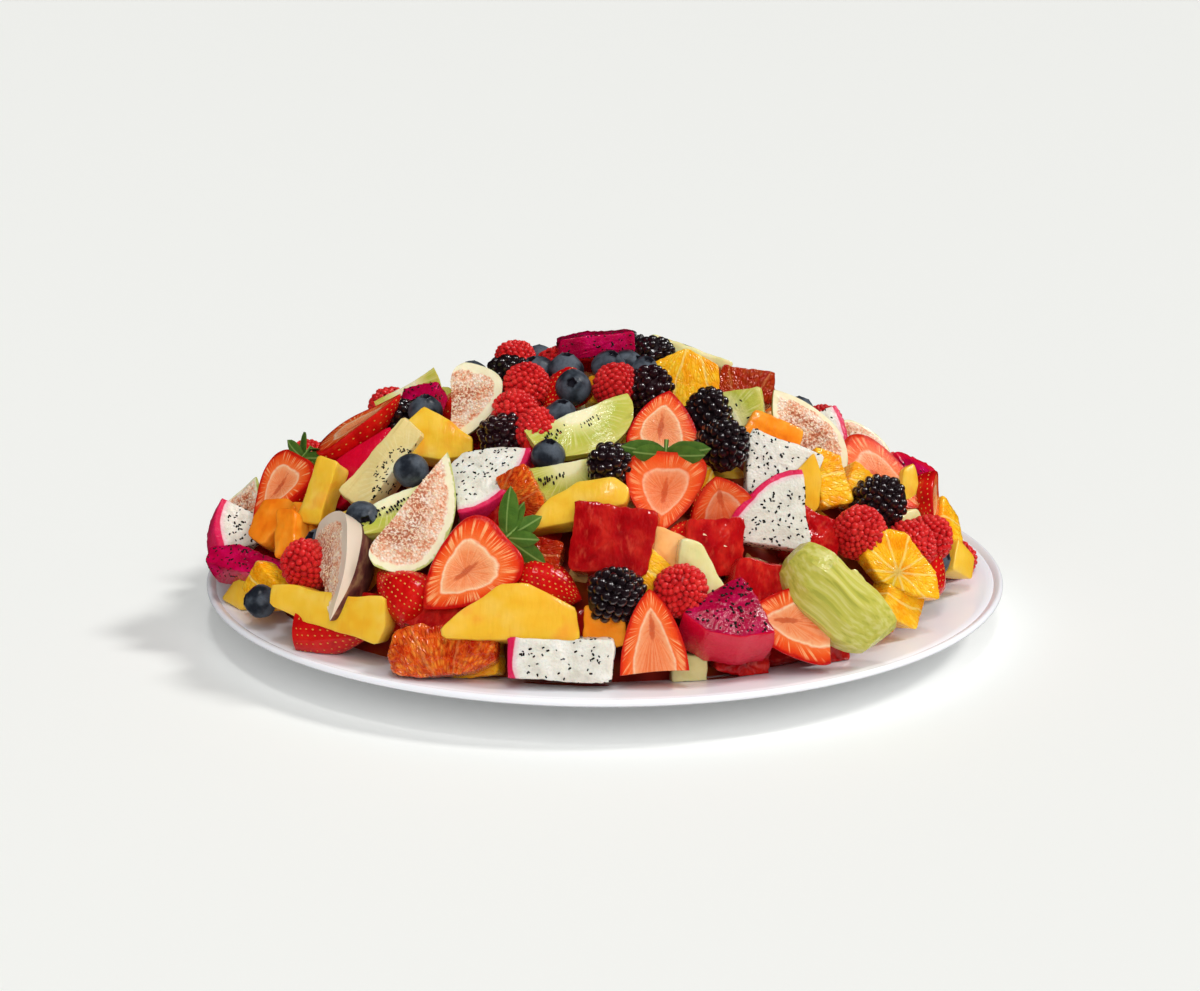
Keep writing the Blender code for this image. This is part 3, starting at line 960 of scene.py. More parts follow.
def add_leaves(matrix, stem_height, width, sepals):
    """The calyx round a short stem; each sepal has a turn round the stem from the cut face's side, an opening
    angle from the stem's direction, and a length as a share of the berry's width. The ones at the sides twist
    so that they show their flat to the cut face's side."""
    leaves = Kind.made["strawberry_leaves"]
    for around, opening, size in sepals:
        turn = Matrix.Rotation(math.radians(around), 4, "Y")
        tip = Matrix.Rotation(math.radians(opening), 4, "X")
        twist = Matrix.Rotation(math.radians(-LEAF_TWIST * math.sin(math.radians(around))), 4, "Y")
        base = Matrix.Translation((0, stem_height - 0.5 * MM, -2.5 * MM))
        leaf = sepal(size * width * MM, (2 + size * 13) * MM, rng.uniform(1, 3) * MM, rng.uniform(1, 5) * MM)
        leaves.add(leaf, matrix @ base @ turn @ tip @ twist)
    stem_angles = np.linspace(0, 2 * math.pi, 7)[:-1]
    circle = np.column_stack([np.cos(stem_angles), np.sin(stem_angles)]) * 1.1 * MM
    rings = [at_height(circle * share, -height * MM) for share, height in ((0, -7), (1, -7), (0.85, -3), (1.3, 0), (0, 0.5))]
    stem = loft(rings, [0] * 4)
    upright = Matrix.Rotation(math.radians(-90), 4, "X")
    leaves.add(stem, matrix @ Matrix.Translation((0, stem_height - 0.5 * MM, -2.5 * MM)) @ upright)


# ---------------------------------------------------------------- berries


def drupelet_berry(kind, matrix, height, width, size, hollow, fine):
    """A berry of round drupelets packed in a spiral on a blunt thimble, its stem end hollow or flat."""
    angles = np.radians([0, 36, 72, 108, 180] if fine else [0, 42, 88, 180])
    bead = turned(np.sin(angles), np.cos(angles), 8 if fine else 6)
    count = round(2.55 * width * (width + height) / 2 / size**2)
    beads = []
    for i in range(count):
        t = (i + 0.5) / count
        polar = math.acos(1 - 1.72 * t)
        angle = i * GOLDEN_ANGLE + rng.uniform(-0.06, 0.06)
        radius = width / 2 * math.sin(polar) ** 0.8
        level = height / 2 * math.cos(polar) + 0.06 * height * t
        out = np.array([math.cos(angle) * math.sin(polar), math.sin(angle) * math.sin(polar), math.cos(polar)])
        seat = np.array([radius * math.cos(angle), radius * math.sin(angle), level]) * MM
        grow = size * MM * 0.58 * rng.uniform(0.9, 1.12)
        side = np.array([-math.sin(angle), math.cos(angle), 0])
        turn = np.stack([side, np.cross(out, side), out])
        points = bead.points @ turn * grow + seat - out * grow * rng.uniform(0.05, 0.3)
        beads.append(Form(points, bead.faces, bead.zones, bead.rings))
    body_angles = np.radians(np.linspace(0, 138, 9))
    radii = list((width / 2 - size * 0.25) * MM * np.sin(body_angles) ** 0.72) + [hollow * MM, 0]
    heights = list(height / 2 * 0.9 * MM * np.cos(body_angles)) + [-height * 0.36 * MM, -height * 0.1 * MM]
    beads.append(turned(radii, heights, 16))
    berry = join(beads)
    berry.place = berry.points.copy()
    bend(berry, 0.5 * MM, 18 * MM, rng)
    Kind.made[kind].add(berry, matrix)


def raspberry(matrix, height=22, width=20, fine=True):
    drupelet_berry("raspberries", matrix, height, width, 2.7, 3.6, fine)


def bramble(matrix, height=25, width=21, fine=True):
    drupelet_berry("brambles", matrix, height, width, 4.1, 2.5, fine)


def blueberry(matrix, diameter=17):
    """A round berry, a little flat, with a five-pointed crown round a shallow crater at +Z."""
    half = diameter / 2 * MM
    radii = [0, 0.10, 0.19, 0.24, 0.30, 0.34, 0.42]
    heights = [0.80, 0.79, 0.80, 0.93, 0.98, 0.93, 0.895]
    shares = [0, 0.1, 0.2, 0.3, 0.6, 1.0, 1.0]
    for angle in np.linspace(30, 180, 11):
        radii.append(math.sin(math.radians(angle)))
        heights.append(math.cos(math.radians(angle)) * 0.9)
        shares.append(1.0)
    radii[7] = 0.52
    heights[7] = 0.82
    steps = 20
    angles = np.arange(steps) * 2 * math.pi / steps
    rings = []
    for k, (radius, height) in enumerate(zip(radii, heights)):
        lobes = 1 + 0.16 * np.cos(5 * angles) if 2 <= k <= 5 else np.ones(steps)
        circle = np.column_stack([np.cos(angles), np.sin(angles)]) * (radius * lobes * half)[:, None]
        rings.append(at_height(circle, height * half))
    form = loft(rings, [0] * (len(rings) - 1), shares)
    bend(form, 0.25 * MM, 14 * MM, rng)
    Kind.made["blueberries"].add(form, matrix)


# ---------------------------------------------------------------- cut fruit


def chunk(kind, matrix, corners, depth, back=0.94, crown=0.4, rounding=2.2, edge=0.8, relief=0.0, size=3.0,
          zone=0, origin=(0, 0, 0), count=52, face_rings=5, bulge=0.02, tone=None):
    """A cut chunk from its front outline in millimetres, one zone all over."""
    front = rounded(corners, rounding, count)
    middle = front.mean(0)
    rear = middle + (front - middle) * back
    form = slab(front, depth * MM, rear, crown * MM, edge, bulge, face_rings)
    form.zones[:] = zone
    form.place = form.place + np.array(origin) * MM
    form.centred((*middle, 0))
    bend(form, 0.5 * MM, 24 * MM, rng)
    if relief:
        roughen(form, relief * MM, size * MM, rng)
    Kind.made[kind].add(form, matrix, tone)
    return form


def seeds_on(form, count, seed, kind, zones=(0,), accept=None, sink=0.15, ways=None):
    """Seeds on a form that is already in its place in the heap."""
    points, normals = scatter(form, count, rng, zones, accept)
    if len(points):
        Kind.made[kind].add(lay_on(seed, points, normals, rng, sink * MM, (0.75, 1.2)))


def pitaya_slice(matrix, corners, depth, red=False, seeds=130, back=0.96, plain_sides=False):
    """A slice or chunk of pitaya whose fruit's middle is the outline's own zero point."""
    kind = "red_pitayas" if red else "white_pitayas"
    form = chunk(kind, matrix, corners, depth, back=back, crown=0.5, rounding=1.2, relief=0.22, size=2.6, count=60,
                 face_rings=6, tone=1.0 if plain_sides else rng.uniform(0, 0.95))
    inside = np.linalg.norm(form.place[:, :2], axis=1) < 0.0345
    inside &= form.place[:, 2] > (-0.5 * MM if plain_sides else -0.8 * depth * MM)
    form_inside = form.faces[inside[form.faces].all(axis=1)]
    seeded = Form(form.points, form_inside, np.zeros(len(form_inside)), form.rings)
    seeds_on(seeded, seeds, bean(1.6 * MM, 1.15 * MM, 0.9 * MM), "fruit_seeds")


def pitaya_rind(matrix, corners, depth):
    """A piece seen from its rounded outside, where the rind came off."""
    chunk("red_pitayas", matrix, corners, depth, back=0.8, crown=4.0, rounding=1.5, relief=0.1, size=6, origin=(46, 0, 0))


def kiwi_piece(matrix, corners, depth, golden=False, origin=(0, 0, 0), seeds=60, ribs=0.0, back=0.8, bulge=0.06):
    """A cut piece of kiwi with black seeds round the pale core."""
    form = chunk("kiwis", matrix, corners, depth, back=back, crown=0.5, rounding=2.0, relief=0.15, size=3,
                 zone=1 if golden else 0, origin=origin, bulge=bulge)
    radius = np.linalg.norm(form.place / KIWI_HALF_SIZE, axis=1)
    band = (radius > 0.26) & (radius < 0.62)
    chosen = form.faces[band[form.faces].all(axis=1)]
    if seeds and len(chosen):
        seeded = Form(form.points, chosen, np.zeros(len(chosen)), form.rings)
        seeds_on(seeded, seeds, bean(1.9 * MM, 1.0 * MM, 0.8 * MM), "fruit_seeds")


def kiwi_wedge(matrix, length, reach, angle, golden=False):
    """A lengthwise wedge of peeled kiwi: core along one edge, then a row of seeds, then the flesh."""
    heights = np.linspace(0.5, -0.5, 31) * length * MM
    ends = 1 - 0.3 * np.clip((np.abs(heights) / (0.5 * length * MM) - 0.92) / 0.08, 0, 1) ** 2
    whole = KIWI_TAPER * 0.5 * length
    radii = reach * MM * np.sqrt(1 - (heights / (whole * MM)) ** 2) * ends
    form = wedge(radii, heights, angle, arc_steps=12, facets=4)
    form.zones[:] = 1 if golden else 0
    form.place = form.place * KIWI_HALF_SIZE / (np.array([reach, whole, reach]) * MM)
    middle = np.array([0.45 * reach * MM, 0, 0])
    bend(form, 0.7 * MM, 26 * MM, rng)
    form.centred(middle)
    roughen(form, 0.12 * MM, 3 * MM, rng)
    seed = bean(2.0 * MM, 1.05 * MM, 0.8 * MM)
    seats = []
    for y in np.arange(-0.38 * length, 0.38 * length, 1.45):
        seats += [(rng.normal(0.3, 0.03) * reach, y + rng.uniform(-0.5, 0.5))]
        if rng.uniform() < 0.5:
            seats.append((rng.normal(0.43, 0.03) * reach, y + rng.uniform(-0.7, 0.7)))
    seats = np.array(seats) * MM
    front = np.column_stack([seats[:, 0] - middle[0], seats[:, 1], np.full(len(seats), 0.25 * MM)])
    up = np.tile([0.0, 0.0, 1.0], (len(seats), 1))
    ways = np.tile([1.0, 0.0, 0.0], (len(seats), 1))
    Kind.made["fruit_seeds"].add(lay_on(seed, front, up, rng, ways=ways), matrix)
    Kind.made["kiwis"].add(form, matrix)


def fig_profile(length, width, samples):
    """Radius and height along a fig from its narrow neck to its round base."""
    s = np.linspace(0, 1, samples)
    s = (1 - np.cos(s * math.pi)) / 2 * 0.7 + s * 0.3
    widest = 0.68
    neck = (1 - np.clip(1 - s / widest, 0, 1) ** 2) ** 0.85
    base = np.sqrt(1 - np.clip((s - widest) / (1 - widest), 0, 1) ** 2)
    radii = width / 2 * neck * base
    radii[0] = radii[-1] = 0
    return radii, length * (0.5 - s)


def mirrored(form):
    """The same form with left and right changed over."""
    form.points[:, 0] *= -1
    form.faces = form.faces[:, ::-1]
    return form


def round_off(points, end, size):
    """Rounds the square corner between the axis, at X = 0, and the end of a wedge, as a square is bent into a disc."""
    near = (points[:, 0] < size) & (points[:, 1] < end + size)
    across = 1 - np.clip(points[near, 0], 0, size) / size
    along = 1 - np.clip(points[near, 1] - end, 0, size) / size
    points[near, 0] += size * across * (1 - np.sqrt(1 - along**2 / 2))
    points[near, 1] += size * along * (1 - np.sqrt(1 - across**2 / 2))


def fig_wedge(matrix, length, reach, angle, pith, purple=False, mirror=False):
    """A lengthwise wedge of fig: seedy flesh, pale pith along the skin, and the skin itself."""
    radii, heights = fig_profile(length * MM, 2 * reach * MM, 61)
    form = wedge(radii[::2], heights[::2], angle, face_steps=14, arc_steps=6)
    skin_rings(form, radii, heights, reach * MM)
    round_off(form.points, -0.5 * length * MM, 0.4 * reach * MM)
    form.zones[form.zones == 1] = 2 if purple else 1
    middle = np.array([0.42 * reach, -0.1 * length, 0]) * MM
    form.centred(middle)
    bend(form, 0.6 * MM, 34 * MM, rng)
    inner = (form.rings < 0.86) & (form.place[:, 2] > -0.1 * MM)
    form.points[:, 2] += waves(form.points, 2.3 * MM, rng, 12) * inner * 0.4 * MM
    if mirror:
        mirrored(form)
    Kind.made["figs"].add(form, matrix, pith)
    pulp = (form.rings < 0.8) & (form.place[:, 2] > -0.1 * MM)
    chosen = form.faces[pulp[form.faces].all(axis=1)]
    seeded = Form(form.points, chosen, np.zeros(len(chosen)), form.rings)
    seeds_on(seeded, 170, bean(1.1 * MM, 0.8 * MM, 0.7 * MM), "fig_seeds", sink=0.1)


def fig_piece(matrix, length, width, purple=False, depth=0.55, pith=0.3):
    """Half a fig: seedy inside, pale pith, and a thin skin behind."""
    radii, heights = fig_profile(length * MM, width * MM, 33)
    form = split(radii, heights, depth=depth, face_rings=13, skin_rows=7, edge=0.6, hollow=1.0 * MM)
    bend(form, 0.8 * MM, 30 * MM, rng)
    inner = (form.rings < 0.86) & (form.rings > 0.01)
    bumps = waves(form.points, 2.3 * MM, rng, 12) * inner
    form.points[:, 2] += bumps * 0.45 * MM
    if purple:
        form.zones[form.zones == 1] = 2
    Kind.made["figs"].add(form, matrix, pith)
    pulp = form.rings < 0.82
    chosen = form.faces[pulp[form.faces].all(axis=1)]
    seeded = Form(form.points, chosen, np.zeros(len(chosen)), form.rings)
    seeds_on(seeded, 150, bean(1.1 * MM, 0.8 * MM, 0.7 * MM), "fig_seeds", sink=0.1)


def watermelon(matrix, corners, depth=18, seeds=3, **more):
    form = chunk("watermelons", matrix, corners, depth, relief=0.4, size=4.0, crown=0.6, rounding=2.0, **more)
    seeds_on(form, seeds, bean(2.6 * MM, 1.2 * MM, 0.7 * MM), "fig_seeds", sink=0.25)


def orange(matrix, corners, depth=11, blood=False, **more):
    kind = "blood_oranges" if blood else "oranges"
    relief = 0.3 if blood else 0.2
    chunk(kind, matrix, corners, depth, relief=relief, size=3.4, crown=0.6, rounding=1.8, count=60, face_rings=8, **more)


def mango(matrix, corners, depth=14, back=0.9, **more):
    chunk("mangoes", matrix, corners, depth, back=back, crown=0.9, rounding=1.6, edge=0.7, relief=0.1, size=9,
          face_rings=6, **more)


def papaya(matrix, corners, depth=16, melon=False, **more):
    chunk("papayas", matrix, corners, depth, crown=0.6, relief=0.18, size=5, zone=1 if melon else 0, **more)


def honeydew(matrix, corners, depth=14, **more):
    chunk("honeydews", matrix, corners, depth, crown=0.8, relief=0.18, size=6, **more)


# ---------------------------------------------------------------- places on the heap


def heap_height(x, y, inset=0.0):
    """Height of the heap's dome over a point of the plate, or of a dome that lies inset inside it."""
    out = math.hypot((x - HEAP_CENTRE_X) / (HEAP_HALF_WIDTH - inset), y / (HEAP_HALF_DEPTH - inset))
    rise = (1 - min(out, 1) ** DOME_INNER_POWER) ** DOME_OUTER_POWER
    return FLOOR_HEIGHT + (HEAP_HEIGHT - inset) * rise


def heap_normal(x, y):
    step = 0.002
    slope_x = (heap_height(x + step, y) - heap_height(x - step, y)) / (2 * step)
    slope_y = (heap_height(x, y + step) - heap_height(x, y - step)) / (2 * step)
    return Vector((-slope_x, -slope_y, 1)).normalized()


def on_heap(x, height, sink=0.0, behind=False):
    """The point, from millimetres, where the dome has this height over x, on the side of the viewer or behind."""
    x, height = x * MM, height * MM
    rise = min(max((height - FLOOR_HEIGHT) / HEAP_HEIGHT, 0), 1)
    out = (1 - rise ** (1 / DOME_OUTER_POWER)) ** (1 / DOME_INNER_POWER)
    across = (x - HEAP_CENTRE_X) / HEAP_HALF_WIDTH
    deep = HEAP_HALF_DEPTH * math.sqrt(max(out**2 - across**2, 0))
    y = deep if behind else -deep
    point = Vector((x, y, height))
    return point - heap_normal(x, y) * sink * MM


def facing(point, yaw, pitch, roll, flip=False):
    """A piece's matrix: its face looks yaw degrees right of the viewer and pitch up; roll turns it clockwise."""
    yaw, pitch, roll = math.radians(yaw), math.radians(pitch), math.radians(roll)
    face = Vector((math.sin(yaw) * math.cos(pitch), -math.cos(yaw) * math.cos(pitch), math.sin(pitch)))
    up = VIEW_UP - face * VIEW_UP.dot(face)
    if up.length < 0.15:
        up = Vector((1, 0, 0)) - face * face.x
    up.normalize()
    side = up.cross(face)
    along = up * math.cos(roll) + side * math.sin(roll)
    across = side * math.cos(roll) - up * math.sin(roll)
    if flip:
        across, face = -across, -face
    matrix = Matrix((across, along, face)).transposed().to_4x4()
    matrix.translation = point
    return matrix


taken = []


def spot(x, height, yaw, pitch, roll=0, sink=0.0, behind=False, flip=False, reach=15):
    """A matrix for a piece placed one by one, which also keeps its room free."""
    point = on_heap(x, height, sink, behind)
    taken.append((point.copy(), reach * MM))
    return facing(point, yaw, pitch, roll, flip)


def at(x, y, height, yaw, pitch, roll=0, flip=False, reach=15):
    """The same for a piece whose place in all three directions is given, in millimetres."""
    point = Vector((x, y, height)) * MM
    taken.append((point, reach * MM))
    return facing(point.copy(), yaw, pitch, roll, flip)


# ---------------------------------------------------------------- the pieces that face -Y
# spot() takes a piece's place across and its height above the table, at() all three, in millimetres; then come
# yaw, pitch and roll in degrees.


def place_strawberries():
    strawberry(at(28, -70, 110, 6, 34, 190), 37, 35)
    sideways = [(60, 96, 0.56), (84, 80, 0.6), (104, 66, 0.44), (300, 96, 0.52), (276, 84, 0.6), (258, 70, 0.44)]
    strawberry(spot(27, 91, 2, 28, 3), 41, 35, sideways)
    upright = [(272, 46, 0.64), (260, 28, 0.5), (88, 12, 0.5), (95, 78, 0.58), (80, 48, 0.42), (275, 116, 0.44)]
    strawberry(spot(-60, 61, -8, 26, 50, sink=-4, reach=20), 53, 37, upright)
    strawberry(spot(-26, 62, -10, 30, -70, sink=12, flip=True), 32, 27)
    strawberry(spot(51, 85, 6, -4, 160, sink=-4), 34, 34, cut=0.3)
    strawberry(spot(20, 41, -4, 16, 178, sink=-6, reach=18), 50, 31, cut=0.27)
    strawberry(spot(79, 40, 10, 22, 90, sink=-6, reach=18), 50, 37, cut=0.18)
    strawberry(at(134, -34, 77, 16, 44, -56, reach=18), 54, 34, [(180, 40, 0.4), (210, 76, 0.36), (150, 70, 0.3)])
    strawberry(at(162, -34, 62, 78, 4, 30), 34, 28)
    left_leaves = [(180, 60, 0.5), (262, 58, 0.56), (300, 84, 0.4), (100, 60, 0.36)]
    strawberry(at(-159, -38, 73, -44, 36, 40, reach=18), 42, 33, left_leaves)
    strawberry(at(-122, -27, 102, -80, 56, -124, reach=20), 52, 31, left_leaves)
    strawberry(spot(-125, 32, -24, 8, -76, sink=8, flip=True, reach=18), 46, 28, cut=0.24)
    strawberry(spot(-92, 53, -16, 20, 130, sink=6, flip=True, reach=12), 34, 27)
    strawberry(at(-20, -36, 118, 0, 50, 40, flip=True), 30, 25)
    strawberry(at(152, -70, 42, 50, 10, 176, flip=True), 32, 24)
    strawberry(spot(40, 78, 20, 20, -150, sink=14, flip=True), 30, 26)


def place_berries():
    for x, y, height, yaw, pitch, roll in (
        (-37, -40, 123, -10, 60, 20), (-42, -56, 113, -60, 40, 60), (-31, -72, 109, 0, -30, -20), (5, -46, 124, 0, 80, 10),
    ):
        raspberry(at(x, y, height, yaw, pitch, roll, reach=11), rng.uniform(20, 23), rng.uniform(19, 21))
    for x, height, yaw, pitch, roll in (
        (-137, 53, -40, 30, 0), (34, 56, 0, 40, 10), (118, 66, 10, 40, 40), (153, 54, 60, 20, 0), (143, 55, 60, 30, 20),
    ):
        raspberry(spot(x, height, yaw, pitch, roll, sink=0, reach=11), rng.uniform(22, 25), rng.uniform(21, 23))
    for x, y, height, yaw, pitch, roll in (
        (-46, -18, 121, -20, 40, 30), (-46, -67, 104, -50, 20, 80), (24, 10, 124, 20, 50, 0), (20, -43, 121, 30, 40, 0),
        (49, -56, 111, 0, 80, -15), (54, -77, 103, 40, 20, 170), (-96, -18, 99, -70, 20, 80),
    ):
        bramble(at(x, y, height, yaw, pitch, roll, reach=12), rng.uniform(24, 28), rng.uniform(20, 22))
    for x, height, yaw, pitch, roll, size in ((3, 99, -30, 20, 75, 23), (3, 55, 84, 10, 84, 28), (131, 72, -70, 10, 80, 28)):
        bramble(spot(x, height, yaw, pitch, roll, sink=-1, reach=0.43 * size), size, size * 0.8)
    for x, y, height, yaw, pitch, size in (
        (-19, -28, 128, 20, 80, 18), (-33, -22, 126, -50, 60, 17), (2, -28, 130, 30, 60, 17), (11, -20, 129, 60, 30, 16),
        (19, -24, 127, 40, 60, 15), (-15, -46, 124, -5, 30, 17), (-21, -67, 115, 20, 70, 16), (-87, -30, 108, 0, 80, 17),
    ):
        blueberry(at(x, y, height, yaw, pitch, 0, reach=9), size)
    for x, height, yaw, pitch, size in (
        (-90, 92, -20, -70, 17), (-111, 73, 14, 12, 18), (-160, 33, -70, 10, 16), (-26, 102, 20, 70, 16),
    ):
        blueberry(spot(x, height, yaw, pitch, 0, sink=-1, reach=9), size)


def place_mangoes():
    mango(at(-80, -62, 104, -8, 40, 0, reach=17), [(-17, 4), (-14, -9), (3, -15), (17, -13), (18, -3), (-6, 15)], 15)
    mango(spot(-136, 76, -30, 26, 16, sink=-2), [(-8, -17), (6, -17), (9, 15), (-3, 17)], 12)
    strip = [(-31, 10), (-31, 1), (-12, -7), (10, -11), (26, -15), (31, -6), (29, 6), (6, 6), (-14, 9)]
    mango(spot(-121, 39, -26, 20, 10, sink=-6, reach=22), strip, 14)
    boat = [(-24, -13), (-4, -10), (22, -1), (24, 7), (16, 12), (0, 11), (-13, 3)]
    mango(spot(-12, 86, -6, 38, 0, sink=-3, reach=18), boat, 14)
    big = [(-31, -7), (-18, 3), (-4, 13), (8, 13), (29, 1), (31, -10), (31, -14), (2, -12), (-30, -11)]
    mango(spot(-39, 45, -4, 30, 0, sink=-7, reach=24), big, 17)
    mango(spot(95, 85, 16, 26, 0, sink=-2), [(-4, -14), (3, -16), (6, -12), (6, 4), (2, 14), (-7, 4)], 14)
    mango(spot(148, 68, 30, 24, 0), [(-6, -15), (3, -16), (6, 4), (2, 17), (-4, 12)], 13)
    mango(at(-177, -66, 28, -50, 20, 30), [(-10, -8), (8, -9), (10, 2), (-2, 10)], 12)
    mango(at(176, -40, 36, 50, 20, 0), [(-9, -9), (8, -8), (10, 2), (-4, 10)], 14)
    papaya(spot(-152, 60, -40, 30, -10), [(-7, -13), (7, -13), (8, 8), (-2, 13)], 12)


def place_pitayas():
    pitaya_slice(spot(76, 77, 4, 26, 0, sink=-5, reach=18), sector(39, 96, 172), 13)
    pitaya_slice(spot(-54, 94, -10, 56, 0, sink=-2, reach=17), sector(39, -78, 2, inner=8), 15)
    pitaya_slice(at(81, -78, 95, 6, 34, 0, reach=16), [(-17, -17), (2, -17), (18, -4), (20, 3), (-13, 15), (-16, 9)], 14)
    pitaya_slice(spot(-19, 31, -2, 14, 0, sink=-5, reach=18), [(-38.5, -10), (7, -12), (8, 3), (7, 7), (-39, 8)], 16)
    pitaya_slice(at(-179, -44, 54, 30, 36, 0), sector(39, 158, 200, inner=16), 18)
    pitaya_slice(at(112, -14, 92, 20, 40, 0, reach=10), sector(39, -22, 32, inner=22), 12, seeds=50)
    top = [(-19, -7), (19, -5), (19, 5), (-2, 5), (-19, 3)]
    pitaya_slice(at(-3, -14, 137, 8, 6, -7, reach=18), top, 22, red=True, seeds=150, back=1.0)
    left_bar = [(-21, 0), (16, -10), (20, 0), (-6, 10), (-20, 9)]
    pitaya_slice(at(-172, -70, 45, -16, 50, 4, reach=18), left_bar, 18, red=True)
    side = [(-21, 0), (-12, 9), (8, 22), (13, 12), (21, -8), (6, -12), (-10, -9)]
    pitaya_slice(spot(54, 46, 12, 54, 0, sink=-8, reach=20), side, 24, red=True, seeds=90, plain_sides=True)
    pitaya_rind(at(-119, -46, 84, -16, 30, 58), [(-11, -22), (10, -20), (10, 20), (-9, 24)], 14)
    pitaya_slice(at(-94, 4, 107, -40, 50, 0), [(-11, -9), (11, -9), (11, 9), (-9, 9)], 12, red=True)
    pitaya_slice(at(158, -6, 70, 60, 40, 0), sector(39, 60, 110, inner=12), 12, red=True, seeds=30)


def place_figs():
    fig_wedge(at(-63, -50, 122, -4, 24, 178, reach=16), 40, 26, 74, 0.55, mirror=True)
    fig_wedge(spot(-83, 70, -4, 26, 40, sink=-9, reach=20), 62, 27, 80, 0.42)
    fig_wedge(spot(-122, 59, -62, 24, 150, sink=-7, reach=18), 60, 27, 100, 0.7, purple=True, mirror=True)
    fig_piece(at(98, -32, 98, 14, 30, -36, reach=18), 54, 31, pith=0.55)
    fig_piece(at(-180, -24, 57, -50, 36, 20), 38, 28)
    fig_piece(at(130, 12, 82, 30, 50, 100), 34, 26, purple=True)


def place_kiwis():
    kiwi_wedge(at(-9, -80, 112, 8, 46, 64, reach=18), 52, 23, 75)
    kiwi_wedge(spot(-16, 97, 20, 20, 74, sink=4), 40, 18, 70)
    kiwi_piece(at(65, -46, 112, -14, 30, -20), [(-12, -12), (10, -12), (15, 7), (-5, 12)], 15, origin=(8, 4, 0), seeds=16)
    kiwi_wedge(at(-97, 16, 103, 10, 20, 56), 34, 20, 70)
    kiwi_piece(at(-106, -68, 92, -20, 34, 40, reach=17), [(-9, -24), (9, -24), (8, 22), (-6, 23)], 15,
               golden=True, origin=(-14, 0, 0), seeds=80, back=0.92)
    kiwi_wedge(spot(-95, 80, -10, 60, 60, sink=0, reach=16), 56, 20, 80)
    kiwi_wedge(spot(96, 42, 4, 26, -48, sink=-6, flip=True, reach=19), 55, 22, 110)
    kiwi_piece(spot(117, 43, 24, 28, -50, sink=-3, reach=12), [(-6, -14), (5, -15), (6, 13), (-5, 14)], 12,
               origin=(18, 0, 12), seeds=0)


def place_watermelons():
    watermelon(spot(3, 74, -8, 26, 6, sink=-4, reach=19), [(-18, -16), (18, -17), (21, 13), (-17, 16)], 24)
    watermelon(spot(50, 71, 10, 20, 0, sink=1), [(-13, -14), (14, -12), (13, 14), (-13, 12)], 20, 7)
    watermelon(spot(72, 52, 16, 16, 4, sink=-2, reach=17), [(-18, -12), (15, -14), (17, 13), (-15, 14)], 20)
    watermelon(spot(100, 70, 20, 30, 20, sink=5), [(-12, -12), (12, -12), (10, 12), (-12, 12)], 20)
    watermelon(spot(-76, 48, -14, 30, 30, sink=4), [(-13, -13), (14, -10), (12, 13), (-13, 10)], 20)
    watermelon(spot(-30, 104, -10, 30, 15, sink=4), [(-10, -14), (10, -12), (8, 14), (-11, 12)], 20)
    watermelon(spot(104, 30, 24, 14, 10, sink=5), [(-13, -9), (13, -9), (11, 9), (-12, 8)], 16)
    watermelon(spot(-104, 44, -26, 14, 10, sink=8), [(-13, -9), (13, -9), (11, 9), (-12, 8)], 16)
    watermelon(spot(-48, 86, -14, 20, 10, sink=6), [(-12, -10), (12, -10), (11, 10), (-12, 9)], 16)
    watermelon(spot(146, 72, 40, 30, 30, sink=6), [(-10, -12), (10, -12), (10, 12), (-11, 10)], 16)


